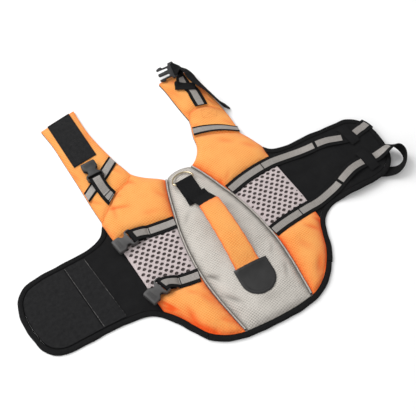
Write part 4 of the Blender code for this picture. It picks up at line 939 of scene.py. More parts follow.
for side in ("left", "right"):
    sewSidePads(side, sidePads)
print("side pads and mesh sewn")

# black belly flaps

bellyFlaps = {"left": {"tipFront": (-354, 84), "tipRear": (-350, -8), "cells": (80, 56)},
              "right": {"tipFront": (331.5, 72), "tipRear": (335, -24), "cells": (70, 56)},
              "wave": 0.5, "waveSize": 42,
              "hookSeams": [[(244, 55), (249, 5)], [(222, 40), (224, -8)], [(256, 42), (253, 10)]]}


def sewHookSeams(look):
    for line in look["hookSeams"]:
        sewRow("blackThread", resample(np.array(line, float), 40), 2.8, 2.2, 0.22, 0.02)


def sewFlap(side, look):
    frontCorner = inner[nearestOn(inner, look[side]["tipFront"])]
    rearCorner = inner[nearestOn(inner, look[side]["tipRear"])]
    long, wide = look[side]["cells"]
    sides = [resample(between(inner, hip[side], rearCorner), long),
             resample(between(inner, rearCorner, frontCorner), wide),
             resample(between(inner, armpit[side], frontCorner), long),
             resample(between(ends[side], hip[side], armpit[side]), wide)]
    grid = drawIn(fourSided(*sides))
    floor = flapFloor(grid[..., 0]) if side == "right" else np.zeros(grid.shape[:2])
    away = awayFrom(resample(joined(sides[0], sides[1]), 240), grid)[0]
    wave = look["wave"] * grain3(grid, look["waveSize"], 5.0) * easeStep(away, 0, 14)
    if side == "right":
        wave *= easeStep(np.abs(grid[..., 0] - 200), 0, 40) + 0.4
    piece = closedPanel("flap" + side.capitalize(), grid, floor, floor + jacket["flapThick"] + wave,
                        "blackCloth", "flap_" + side)


for side in ("left", "right"):
    sewFlap(side, bellyFlaps)
sewHookSeams(bellyFlaps)

# two fields of loop pile on the left flap

pileFields = {"thick": 1.2, "split": (-360, 45), "fuzz": 0.3, "fromBinding": 1.5, "tipFront": (-354, 84),
              "tipRear": (-350, -8), "outerStart": [(-261, -25), (-268, 104)],
              "innerStart": [(-218, -28), (-229, 104)], "seamWidth": 2.5}


def sewPile(look):
    field = beside(outer, jacket["bindingWidth"] + look["fromBinding"])[:outerMiddle]
    split = nearestOn(field, look["split"])
    front, rear = field[:split], field[split:]
    rearCorner = rear[nearestOn(rear, look["tipRear"])]
    frontCorner = front[nearestOn(front, look["tipFront"])]
    rearStart, frontStart = look["outerStart"]
    rearSide = between(rear, rear[nearestOn(rear, rearStart)], rearCorner)
    frontSide = between(front, front[nearestOn(front, frontStart)], frontCorner)
    inside = np.array([rearSide[0], frontSide[0]])
    outerField = fourSided(resample(rearSide, 36), resample(between(field, rearCorner, frontCorner), 48),
                           resample(frontSide, 36), resample(inside, 48))[:, ::-1]
    rearStart, frontStart = look["innerStart"]
    innerEdge = np.array([rear[nearestOn(rear, rearStart)] + (0, 1),
                          front[nearestOn(front, frontStart)] - (0, 1)])
    outerEdge = inside + (look["seamWidth"], 0)
    rows = [resample(outerEdge * (1 - share) + innerEdge * share, 44) for share in np.linspace(0, 1, 16)]
    innerField = np.stack(rows, axis=1)[:, ::-1]
    for name, node, plan in (("loopPileOuter", "loop_pile_outer", outerField),
                             ("loopPileInner", "loop_pile_inner", innerField)):
        base = settle(plan, lieGap, 6)
        top = base + look["thick"] + look["fuzz"] * grain3(plan, 3.0, 1.0)
        closedPanel(name, plan, base, top, "loopPile", node)
    for line in (rows[0], rows[-1]):
        sewRow("greyThread", line, 2.5, 2.35, 0.3, 0.15)


sewPile(pileFields)
print("flaps and pile sewn")

# piping in the two long seams, binding round the edge: place across, share of the height

trim = {"pipingHeight": 8.6, "bindingHeight": 7.0, "flapBindingHeight": 5.6, "bindingLead": 34,
        "wander": 0.45,
        "rearStarts": [(-126, -134), (130, -133)],
        "pipingSection": [(0, 0), (0, 0.62), (0.1, 0.86), (0.28, 0.98), (0.5, 1.02), (0.72, 0.98),
                          (0.9, 0.86), (1, 0.62), (1, 0)],
        # painted shade: the piping is painted darker down both its sides, where it meets the pads
        "pipingShade": (1, 1, 0.9, 0.35, 0.1, 0.35, 0.9, 1, 1),
        "bindingSection": [(0, 0), (0.005, 0.55), (0.03, 0.78), (0.1, 0.9), (0.3, 0.985), (0.55, 1.0),
                           (0.76, 0.93), (0.9, 0.77), (0.98, 0.5), (1.0, 0.26), (0.95, 0.04), (0.9, 0)]}


def beadPiece(name, node, near, far, section, height, floor, finish, shade=None):
    section = np.array(section)
    across = near[:, None, :] + (far - near)[:, None, :] * section[None, :, :1]
    tall = floor[:, None] + height[:, None] * section[None, :, 1]
    verts = np.concatenate([across, tall[..., None]], axis=2)
    n, k = verts.shape[:2]
    girth = np.concatenate(([0], np.cumsum(np.linalg.norm(np.diff(verts[n // 2], axis=0), axis=1))))
    run = runOf((near + far) / 2)
    uvs = np.stack(np.broadcast_arrays(run[:, None], girth[None, :]), axis=2)
    piece = addPiece(name, verts.reshape(-1, 3), tubeFaces(n, k), finish, node, uvs.reshape(-1, 2),
                     None if shade is None else np.tile(shade, n), sharp=55)


def sewPiping(side, look):
    reach = jacket["pipingWidth"] / 2 - seamInset
    line = seam if side == "right" else seam * mirror
    stop = nearestOn(line, rump[side]) - 2
    line = resample(line[:stop], countFor(line[:stop], jacket["cell"]))
    run = runOf(line)
    height = look["pipingHeight"] + 0.22 * np.sin(run / 6.1) + 0.15 * np.sin(run / 2.3 + 1)
    beadPiece("piping" + side.capitalize(), "piping_" + side, beside(line, reach), beside(line, -reach),
              look["pipingSection"], height, np.zeros(len(line)), "greyDobby", look["pipingShade"])


def sewBinding(look):
    # near is the edge on the cloth, far the edge outside
    nearLine = beside(outer, jacket["bindingWidth"] - seamInset)
    cuts = [nearestOn(outer, point) for point in look["rearStarts"]]
    lead, last = look["bindingLead"], len(outer) - 1
    spans = {"left": (lead, cuts[0] - 1), "rear": (cuts[0], cuts[1]), "right": (cuts[1] + 1, last - lead)}
    for name, (a, b) in spans.items():
        marks = np.linspace(a, b, countFor(outer[a:b + 1], 2.6) + 1)
        near, far = (np.column_stack([np.interp(marks, np.arange(last + 1), line[:, k]) for k in (0, 1)])
                     for line in (nearLine, outer))
        if name == "left":
            leadIn = between(nearLine[:nearestOn(outer, (-262, 116))], armpit["left"] + (-0.6, 0), near[0])
            near = joined(resample(leadIn, 14), near)
            far = joined(resample(outer[:a + 1] + (-0.4, 0), 14), far)
        if name == "right":
            leadOut = between(nearLine[last - 90:], near[-1], armpit["right"] + (0.6, 0))
            near = joined(near, resample(leadOut, 14))
            far = joined(far, resample(outer[b:] + (0.4, 0), 14))
        run = runOf(far)
        wander = look["wander"] * (0.5 * np.sin(run / 5.3 + 1) + 0.8 * np.sin(run / 12.1)
                                   + 0.7 * np.sin(run / 29 + 2))
        far = far - (near - far) / jacket["bindingWidth"] * wander[:, None]
        foam = easeStep(-np.abs(far[:, 0]), -190, -150)
        run = runOf((near + far) / 2)
        tall = look["flapBindingHeight"] + (look["bindingHeight"] - look["flapBindingHeight"]) * foam
        tall = tall + 0.16 * np.sin(run / 3.1) + 0.2 * np.sin(run / 7.7 + 2) - 0.1
        floor = flapFloor(near[:, 0]) if name == "right" else np.zeros(len(near))
        beadPiece("binding" + name.capitalize(), "binding_" + name, near, far, look["bindingSection"], tall,
                  floor, "ribbedWebbing")
        sewRow("blackThread", near + (far - near) * 0.13, 3.0, 2.2, 0.26, 0.02)


for side in ("left", "right"):
    sewPiping(side, trim)
sewBinding(trim)
print("piping and binding sewn")

# padded neck straps

neckStraps = {
    "left": {"inner": [(-76, 206), (-80, 222), (-85, 240), (-89, 261), (-94, 291), (-98, 325), (-98.5, 358),
                       (-97.5, 386)],
             "outer": [(-168, 147), (-168.5, 175), (-168, 215), (-167.5, 250), (-167.5, 290), (-167.5, 340),
                       (-171, 377)],
             "end": [(-171, 377.5), (-134, 381.5), (-97.5, 386)]},
    "middle": {"inner": [(64, 211), (70, 228), (75, 240), (78, 250)],
               "outer": [(143, 173), (145, 190), (146.5, 212), (146, 233)],
               "seam": [(78, 250), (86, 261), (104, 264), (126, 256), (146, 233)]},
    "upper": {"inner": [(78, 250), (76.5, 274), (75.5, 303), (75, 333), (73, 352)],
              "outer": [(146, 233), (145, 262), (143, 295), (140, 325), (137, 345)],
              "end": [(73, 352), (88, 356), (106, 356), (124, 352), (137, 345)]},
    "look": {"crown": 4.5, "seam": jacket["seamHeight"], "pucker": 0.55, "puckerPitch": 12, "puckerReach": 5,
             "fill": 0.55, "paintedEdgeShade": (0.25, 0.4, 0.5, 0.4), "paintedShadeReach": 3.5, "soft": 0.8, "lining": 4.2},
    "wide": 34, "edge": (2, 20),
    "leftCreases": [(-100, 236, -88, 214, 4.0, -1.0), (-166, 196, -150, 178, 3.5, -1.2),
                    (-101, 330, -112, 300, 4.5, -0.9), (-112, 374, -120, 352, 4.5, -0.8),
                    (-165, 262, -160, 240, 3.0, -0.8)],
    "middleCreases": [(77, 232, 85.5, 228.7, 3.0, -1.2), (131, 214, 141, 196, 3.6, -0.9)],
    "upperCreases": [(115.4, 259.6, 123.3, 236, 3.0, -1.5), (131.6, 276.9, 140.5, 249.9, 3.2, -1.5),
                     (79, 268, 88, 262, 3.0, -1.0), (82, 330, 90, 300, 4.5, -0.9),
                     (86, 352, 92, 336, 3.5, -0.8),
                     (133, 334, 138, 284, 4.5, -2.0), (96, 346, 101, 333, 5.0, -1.6),
                     (131, 300, 134, 276, 3.0, -1.5)],
}


def sewNeckStraps(straps):
    look, wide = straps["look"], straps["wide"]
    for name, node, low, right, high, left, creases in (
            ("strapLeft", "strap_left", strapSeam["left"], straps["left"]["outer"],
             straps["left"]["end"][::-1], straps["left"]["inner"], "leftCreases"),
            ("strapRightLower", "strap_right_lower", strapSeam["right"], straps["middle"]["outer"],
             straps["middle"]["seam"], straps["middle"]["inner"], "middleCreases"),
            ("strapRightUpper", "strap_right_upper", straps["middle"]["seam"], straps["upper"]["outer"],
             straps["upper"]["end"], straps["upper"]["inner"], "upperCreases")):
        long = countFor(smoothLine(right), jacket["cell"])
        edges = [(resample(smoothLine(line), count), *straps["edge"])
                 for line, count in ((low, wide), (right, long), (high, wide), (left, long))]
        foamPad(name, node, edges, look["crown"], "orangeDobby", {**look, "creases": straps[creases]})


sewNeckStraps(neckStraps)
print("neck straps sewn")

# black band with reflective tape across each neck strap: inner and outer end of its two edges

neckBands = {"left": {"front": [(-91.5, 258), (-120, 241), (-167.5, 214)],
                      "rear": [(-86.5, 238), (-114, 220), (-168, 192)]},
             "right": {"front": [(72, 230), (90, 223), (115, 210), (145.5, 186.5)],
                       "rear": [(65.5, 212.5), (84, 207), (109, 197), (143.5, 174.5)]},
             "thick": 0.9, "tapeShare": 0.6}


def sewNeckBands(bands):
    for side in ("left", "right"):
        front, rear = (resample(smoothLine(bands[side][k]), 32) for k in ("front", "rear"))
        plan = rowsFrom(front, rear) if side == "left" else rowsFrom(rear, front)
        points = withHeight(plan, settle(plan))
        band = stripPiece("neckBand" + side.capitalize(), "neck_band_" + side, points, bands["thick"],
                          "ribbedWebbing")
        tape = sewTape("neckTape" + side.capitalize(), "neck_tape_" + side, points, 0.0, math.inf,
                       bands["thick"], bands["tapeShare"])


sewNeckBands(neckBands)

# side-release buckles: half outlines along x from the webbing's bar, cuts as low and high corners

buckles = {
    "socketThick": 10.0, "plugThick": 6.4, "socketLength": 39.0, "barAt": 1.8, "barHeight": 4.6, "wrap": 3.0,
    # the webbing's slot behind the bar, from and to, its half width, and the bar's low and high side;
    # the plug's slot is 0.2 narrower on each side
    "socketSlot": {"from": 3.6, "to": 9.0, "half": 13.8, "bar": (2.6, 6.6)},
    "plugSlot": {"from": 3.6, "to": 6.8, "half": 13.8 - 0.2, "bar": (1.4, 5.0)},
    "socketBevel": 1.9, "plugBevel": 1.0,
    "socketRibs": {"at": (27.5, 30.0, 32.5), "wide": 1.0, "half": 9.5, "low": 9.7, "high": 10.25},
    "plugRibs": {"at": (17.5, 20.0, 22.5), "wide": 0.9, "half": 2.4, "low": 6.2, "high": 6.6},
    "socketHalf": [(0, 14.4), (1.6, 16), (9.8, 16), (11.8, 14), (13.6, 10.4), (16, 8.6), (19.4, 8.6),
                   (21.6, 10.8), (23.4, 13), (25.6, 14), (35.6, 14), (38.4, 13), (39, 11.8)],
    "plugHalf": [(0, 14.4), (1.6, 16), (10.4, 16), (12.2, 11.2), (24, 11.2), (25.4, 14.2), (29, 14.6),
                 (34.6, 13), (36.8, 10.8), (35.4, 9.0), (27, 8.9), (16, 8.3), (14.4, 6.2), (15.6, 3.6),
                 (34.4, 2.9), (36, 1.6)],
    "cavity": {"from": 14.0, "half": 11.4, "gap": 0.3},
    "window": {"from": 14.6, "to": 28.4, "half": 17, "gap": 0.1},
}


def boxShape(low, high):
    shape = bmesh.new()
    bmesh.ops.create_cube(shape, size=1)
    low, high = np.array(low, float), np.array(high, float)
    bmesh.ops.transform(shape, verts=shape.verts, matrix=Matrix.Translation(Vector((low + high) / 2 * mm))
                        @ Matrix.Diagonal((*((high - low) * mm), 1)))
    return shape


def boxMesh(name, low, high, rounding=0.0):
    shape = boxShape(np.array(low) - (buckles["barAt"], 0, 0), np.array(high) - (buckles["barAt"], 0, 0))
    if rounding:
        bmesh.ops.bevel(shape, geom=shape.edges[:], offset=rounding * mm, segments=2, affect="EDGES")
    mesh = bpy.data.meshes.new(name)
    shape.to_mesh(mesh)
    shape.free()
    return mesh


def mouldedPlate(name, node, half, thick, bevel, place, cuts, ribs, finish):
    outline = half + [(x, -y) for x, y in half[::-1]]
    shape = bmesh.new()
    face = shape.faces.new([shape.verts.new(((x - buckles["barAt"]) * mm, y * mm, 0)) for x, y in outline])
    grown = bmesh.ops.extrude_face_region(shape, geom=[face])["geom"]
    raised = [v for v in grown if isinstance(v, bmesh.types.BMVert)]
    bmesh.ops.translate(shape, vec=(0, 0, thick * mm), verts=raised)
    bmesh.ops.recalc_face_normals(shape, faces=shape.faces)
    mesh = bpy.data.meshes.new(name)
    shape.to_mesh(mesh)
    shape.free()
    block = bpy.data.objects.new(name + "Block", mesh)
    scene.collection.objects.link(block)
    rounded = block.modifiers.new("Rounded", "BEVEL")
    rounded.width, rounded.segments, rounded.angle_limit = bevel * mm, 4, math.radians(50)
    cutters = []
    for low, high in cuts:
        cutter = bpy.data.objects.new(name + "Cut", boxMesh(name + "Cut", low, high))
        scene.collection.objects.link(cutter)
        cut = block.modifiers.new("Cut", "BOOLEAN")
        cut.object = cutter
        cutters.append(cutter)
    bpy.context.view_layer.update()
    made = bmesh.new()
    made.from_object(block, bpy.context.evaluated_depsgraph_get())
    for x in ribs["at"]:
        made.from_mesh(boxMesh(name + "Rib", (x, -ribs["half"], ribs["low"]),
                               (x + ribs["wide"], ribs["half"], ribs["high"]), 0.3))
    made.transform(place)
    verts = np.array([tuple(v.co / mm) for v in made.verts])
    made.verts.index_update()
    faces = [[v.index for v in face.verts] for face in made.faces]
    made.free()
    for old in [block] + cutters:
        bpy.data.objects.remove(old, do_unlink=True)
    addPiece(name, verts, faces, finish, node, sharp=32)


def barCuts(slot, thick):
    # the slot, and what is taken off below and above the bar
    start, half, (low, high) = slot["from"], slot["half"], slot["bar"]
    return [((start, -half, -1), (slot["to"], half, thick + 1)), ((-1, -half, -1), (start + 1, half, low)),
            ((-1, -half, high), (start + 1, half, thick + 1))]


def flatPlace(spot, z, heading):
    return Matrix.Translation(Vector((*spot, z)) * mm) @ Matrix.Rotation(math.radians(heading), 4, "Z")


def addSocket(name, node, bar, heading, z, finish="mouldedPlastic"):
    thick, cavity, window = buckles["socketThick"], buckles["cavity"], buckles["window"]
    cuts = barCuts(buckles["socketSlot"], thick)
    plugLow = (thick - buckles["plugThick"]) / 2
    for hollow, end in ((cavity, buckles["socketLength"] + 1), (window, window["to"])):
        low, half = plugLow - hollow["gap"], hollow["half"]
        cuts.append(((hollow["from"], -half, low), (end, half, thick - low)))
    mouldedPlate(name, node, buckles["socketHalf"], thick, buckles["socketBevel"], flatPlace(bar, z, heading),
                 cuts, buckles["socketRibs"], finish)


def addPlug(name, node, place):
    thick = buckles["plugThick"]
    mouldedPlate(name, node, buckles["plugHalf"], thick, buckles["plugBevel"], place,
                 barCuts(buckles["plugSlot"], thick), buckles["plugRibs"], "plugPlastic")


def unitOf(degrees):
    return np.array((math.cos(math.radians(degrees)), math.sin(math.radians(degrees))))


def loopedStrip(plan, bar, heading, barHeight, radius, bulge, width):
    # webbing that lies along plan, goes over a bar and comes back under itself
    cross, bar = np.array((-heading[1], heading[0])), np.array(bar, float)
    columns, thick = plan.shape[1], jacket["webbingThick"]
    barRow = bar + np.linspace(-width / 2, width / 2, columns)[:, None] * cross
    reach = np.linalg.norm(barRow.mean(axis=0) - plan[-1].mean(axis=0))
    leave = reach * (plan[-1] - plan[-2]) / np.linalg.norm(plan[-1] - plan[-2], axis=1)[:, None]
    shares = np.linspace(0, 1, max(9, int(reach / 2.2) + 1))[1:]
    free = np.stack([curveBetween(t, plan[-1], leave, barRow, reach * heading) for t in shares])
    base = settle(np.concatenate([plan, free]), lieGap, 30)
    flat, over = withHeight(plan, base[:len(plan)]), base[len(plan):]
    top, low = barHeight + radius, barHeight - radius
    rise = np.maximum((thick + 2 * lieGap) * easeStep(shares, 0, 0.2)[:, None],
                      (shares**bulge)[:, None] * (top - over[-1]))
    upper = withHeight(free, over + rise)
    upper[-1, :, 2] = top
    angles = np.radians(np.linspace(90, -90, 15))[1:]
    turn = np.stack([withHeight((barRow + heading * radius * math.cos(a))[None],
                                np.full((1, columns), barHeight + radius * math.sin(a)))[0] for a in angles])
    back = withHeight(free, over + thick)
    blend = (shares**2)[:, None]
    back[..., 2] = np.maximum(back[..., 2], (1 - blend) * back[..., 2] + blend * low)
    keep = [k for k, t in enumerate(shares[:-1]) if t > 0.24]
    points = np.concatenate([flat, upper, turn, back[keep][::-1]])
    return points, len(flat) + len(upper) + 1


leftFittings = {
    "front": {"bar": (-137, 90.0), "heading": 187, "stitched": (-110, 86.5), "tapeStops": 4.5,
              "over": "meshLeft"},
    "rear": {"bar": (-139.5, -17.5), "heading": 197, "stitched": (-114, -23), "tapeStops": 0.3,
             "over": "hipLeft"},
    "bulge": 0.6, "tapeStart": 0.8, "tackStops": 3.0,
    "chest": {"bar": (-134.5, 225), "heading": 89, "leftEdge": [(-142, 169), (-144.6, 183), (-145.6, 191)],
              "rightEdge": [(-117, 186.5), (-118.4, 192), (-120.2, 198)], "bulge": 0.85, "tapeShare": 0.57,
              "tapeStops": 0.3, "tackStart": 3.2, "tackStops": 4.0},
    "patch": {"xs": (-109, -157), "low": (273.5, 270), "high": (382.5, 377), "thick": 1.4, "fuzz": 0.25,
              "cut": (48, 108), "seamShare": 0.96},
}


def sewLeftStraps(fittings):
    for place, lines in (("front", frontLine), ("rear", rearLine)):
        spec = fittings[place]
        line, heading = lines["left"], unitOf(spec["heading"])
        start = meetOf(line, padEdge["left"]) + (-0.4, 0)
        lies = between(line, start, line[nearestOn(line, spec["stitched"])])
        plan = rowsAcross(resample(lies, countFor(lies, jacket["cell"])), jacket["webbingWidth"])
        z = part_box("socket_" + place)[0].z / mm
        points, shown = loopedStrip(plan, spec["bar"], heading, z + buckles["barHeight"], buckles["wrap"],
                                    fittings["bulge"], jacket["webbingWidth"])
        label = place.capitalize()
        strap = webbingPiece("bellyStrap" + label + "Left", f"belly_strap_{place}_left", points)
        addSocket("socket" + label, "socket_" + place, spec["bar"], spec["heading"], z)
        strip = points[:shown]
        tape = sewTape("tape" + label + "Left", f"tape_{place}_left", strip, fittings["tapeStart"],
                       runOf(middleOf(strip))[-1] - spec["tapeStops"])
        barTack(strip, runOf(middleOf(plan))[-1] - fittings["tackStops"])


def sewChest(fittings):
    patch = fittings["patch"]
    columns = [resample(np.array([(x, low), (x, high)], float), 44) for x, low, high in
               zip(*(np.linspace(*patch[k], 20) for k in ("xs", "low", "high")))]
    plan = np.stack(columns, axis=1)
    base = settle(plan)
    top = base + patch["thick"] + patch["fuzz"] * grain3(plan, 3.0, 2.0)
    pile = closedPanel("loopPatchStrap", plan, base, top, "loopPile", "loop_patch_strap")
    sewRound(plan, patch["seamShare"], 3.2, 2.3, 0.28, 0.1)

    spec = fittings["chest"]
    left, right = (resample(smoothLine(spec[k]), 10) for k in ("leftEdge", "rightEdge"))
    plan = rowsFrom(right, left)
    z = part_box("socket_chest")[0].z / mm
    points, shown = loopedStrip(plan, spec["bar"], unitOf(spec["heading"]), z + buckles["barHeight"],
                                buckles["wrap"], spec["bulge"], jacket["webbingWidth"])
    strap = webbingPiece("chestStrapLeft", "chest_strap_left", points)
    addSocket("socketChest", "socket_chest", spec["bar"], spec["heading"], z, "chestPlastic")
    strip = points[:shown]
    tape = sewTape("chestTapeLeft", "chest_tape_left", strip, fittings["tapeStart"],
                   runOf(middleOf(strip))[-1] - spec["tapeStops"], share=spec["tapeShare"])
    barTack(strip, spec["tackStart"])
    barTack(strip, runOf(middleOf(plan))[-1] - spec["tackStops"])


sewLeftStraps(leftFittings)
sewChest(leftFittings)
print("left fittings sewn")

# right belly straps: the front one folded tight round the flap's tip, the rear one looped past it

rightFittings = {
    "frontEnd": (338, 54), "foldHeading": 9,
    "fold": {"start": (-6.2, 3.2), "radius": (3.6, 3.35), "shift": -1.8, "floor": 2.8},
    "frontBack": ((9, 0.3), (20, 0.9), (33, 0.95), (50, 0.95)),
    "frontLift": [(242, 0), (262, 1.6), (282, 1.4), (300, 0.4), (320, 0), (330, 0)],
    "rearEnd": (322, -8),
    "rearLift": [(236, 0), (250, 2.5), (264, 4.5), (280, 3.5), (296, 1.0), (306, 0.6), (320, 1.0)],
    # the loop: x, y, z, plan angle of the width, lean of the width
    "rearLoop": [(335, -8, 19.2, 90, -14), (348, -8, 23.4, 90, -36), (361, -12, 22.5, 84, -64),
                 (369, -22, 17.5, 75, -84), (368.5, -33, 15, 75, -88), (360, -43, 13.2, 84, -74),
                 (347, -48.5, 11.6, 90, -52), (332, -47, 9.2, 90, -22), (316, -40, 8.4, 90, -4),
                 (300, -30, 8.3, 84, 0), (287, -26, 8.3, 84, 0)],
    "stitch": {"front": 240, "rear": 234}, "tacks": {"front": 136.4, "rear": 138.2},
    # tapes: their start, the gaps before and after the stitched place, and where the next ones end and start
    "tapeStart": 0.8, "tapeGaps": (2.6, 3.0), "tapeEnd": 292, "tipStart": {"front": 319, "rear": 316},
    "tipEnd": 350, "stitchedThick": 1.7, "stitchedLong": 3.4, "keeperThick": 1.2,
    "keepers": {"front": ([(303, 77), (306, 55), (308.5, 34)], 19),
                "rear": ([(301, 16), (303, -6), (305, -29)], 20)},
    "plugs": {"front": ((306, 47.5), 189), "rear": ((296, -24.5), 176)},
}


def freeStrip(rows, width):
    # rows of x, y, z, the width's angle in plan and its lean
    path = smoothLine(rows, 2.0)
    path = resample(path, max(4, int(runOf(path)[-1] / 2.4)))
    plan, lean = np.radians(path[:, 3]), np.radians(path[:, 4])
    side = np.column_stack((np.cos(plan) * np.cos(lean), np.sin(plan) * np.cos(lean), np.sin(lean)))
    columns = np.linspace(-width / 2, width / 2, stripColumns)
    return np.stack([path[:, :3] + d * side for d in columns], axis=1)


def laidAlong(line, end, lift):
    lies = between(line, meetOf(line, padEdge["right"]) + (0.4, 0), line[nearestOn(line, end)])
    lies = resample(lies, countFor(lies, jacket["cell"]))
    plan = rowsAcross(lies, jacket["webbingWidth"])
    xs, lifts = zip(*lift)
    return withHeight(plan, settle(plan) + np.interp(lies[:, 0], xs, lifts, left=0.0)[:, None])


def sewRightWebbing(place, strip, top, tipEnd, look):
    # the belly webbing of one place, its three tapes and the two places where it is sewn down
    label, gaps = place.capitalize() + "Right", look["tapeGaps"]
    strap = webbingPiece("bellyStrap" + label, f"belly_strap_{place}_right", strip)
    stitch = reachOf(top, look["stitch"][place])
    spans = {"Inner": (look["tapeStart"], stitch - gaps[0]),
             "Middle": (stitch + gaps[1], reachOf(top, look["tapeEnd"])),
             "Tip": (reachOf(top, look["tipStart"][place]), tipEnd)}
    tapes = [sewTape("tape" + label + part, f"tape_{place}_right_{part.lower()}", strip, *span)
             for part, span in spans.items()]
    barTack(strip, stitch, thick=look["stitchedThick"], long=look["stitchedLong"])
    barTack(strip, reachOf(top, look["tacks"][place]))


def sewRightStraps(look):
    top = laidAlong(frontLine["right"], look["frontEnd"], look["frontLift"])
    heading, fold = unitOf(look["foldHeading"]), look["fold"]
    ahead = [outer[nearestOn(outer, point[:2] + heading * 14)] for point in top[-1]]
    wide, tall = fold["radius"]
    bend = [fold["start"]] + [(wide * math.cos(a) + fold["shift"], tall * math.sin(a))
                              for a in np.radians(np.linspace(90, -90, 15))]
    base = jacket["flapRise"] + fold["floor"]
    turn = np.array([[(*(point[:2] + heading * (heading @ (rim - point[:2]) + out)), base + up)
                      for point, rim in zip(top[-1], ahead)] for out, up in bend])
    back = [turn[-1] - (*(heading * d), drop) for d, drop in look["frontBack"]]
    strip = np.concatenate([top, turn, np.array(back)])
    sewRightWebbing("front", strip, top, runOf(middleOf(strip))[len(top) + 1] - 0.5, look)

    top = laidAlong(rearLine["right"], look["rearEnd"], look["rearLift"])
    loop = freeStrip([(*middleOf(top)[-1], 90, 0)] + look["rearLoop"], jacket["webbingWidth"])
    strip = np.concatenate([top, loop[1:]])
    sewRightWebbing("rear", strip, top, reachOf(strip[:len(top) + 18], look["tipEnd"]), look)

    for place, (points, wide) in look["keepers"].items():
        plan = rowsAcross(resample(smoothLine(points), 26), wide, 9)
        keeper = stripPiece("keeper" + place.capitalize(), "keeper_" + place, withHeight(plan, settle(plan)),
                            look["keeperThick"], "blackCloth")
    for place, (spot, heading) in look["plugs"].items():
        addPlug("plug" + place.capitalize(), "plug_" + place, flatPlace(spot, 0, heading))


sewRightStraps(rightFittings)

# right neck strap: its webbing goes up from the keeper, under the plug's bar and back over it as a free tail

rightNeck = {
    "plugPlace": (112.3, 356.6, 20.0), "plugTurns": (-20, 14, 167), "barRadius": 4.95,
    "riser": [(111.5, 332.5, 15, 186, 16), (114.5, 342, 18.3, 205, 32), (118.4, 349.0, 18.3, 240, -2)],
    "tail": [(120.2, 351.5, 25.5, 235, 40), (127.3, 341.5, 23, 223, 37), (129.8, 330, 20.5, 213, 31),
             (132, 312, 18.6, 203, 40), (136.4, 296, 17.4, 191, 50), (140.9, 278, 16.3, 185, 56),
             (145, 259, 14.4, 185, 58), (148.6, 243, 12.8, 187, 57), (151.2, 232, 11.8, 187, 55)],
    "leftEdge": [(102.5, 267), (104, 285), (106.5, 305), (99, 325)],
    "rightEdge": [(125.5, 259.5), (128, 279), (129, 299), (123, 322)],
    "hem": 13.0, "hemRadius": 0.35, "keeper": [(93, 325), (109, 315.5), (127, 305.5)], "keeperWidth": 16,
    "keeperThick": 1.2, "keeperRoom": 3.4, "tapeStart": 0.8, "tapeEnd": 337,
    "stitchBox": [(107, 255), (134, 243), (126, 226), (101, 236)],
}


def hemOf(strip, depth, radius):
    # the last of a free end turned under and sewn down
    last, normal = strip[-1], normalsOf(strip)[-1]
    ahead = strip[-1] - strip[-2]
    ahead /= np.linalg.norm(ahead, axis=1)[:, None]
    centre = last - normal * radius
    turned = [centre + radius * (normal * math.cos(a) + ahead * math.sin(a))
              for a in np.radians((30, 60, 90, 120, 150))]
    back = [centre - radius * normal - ahead * d for d in np.linspace(0.5, depth, 6)]
    return np.array(turned + back)


def finer(points, count):
    # a grid with this many rows, evenly between its own
    rows, flat = np.arange(len(points)), points.reshape(len(points), -1)
    marks = np.linspace(0, rows[-1], count)
    read = np.stack([np.interp(marks, rows, column) for column in flat.T], axis=1)
    return read.reshape(count, *points.shape[1:])


def liftedOver(plan, z, under, gap):
    # heights that clear a strip that rises beneath, which is read at every millimetre or so
    fine = finer(finer(under, 4 * len(under)).swapaxes(0, 1), 25).reshape(-1, 3)
    apart = np.linalg.norm(plan[..., None, :] - fine[:, :2], axis=3)
    lifted = np.maximum(z, np.where(apart < 1.6, fine[:, 2] + gap, -1.0).max(axis=2))
    for _ in range(3):
        lifted = np.maximum(lifted, 0.5 * lifted + 0.5 * neighboursMean(lifted))
    return lifted


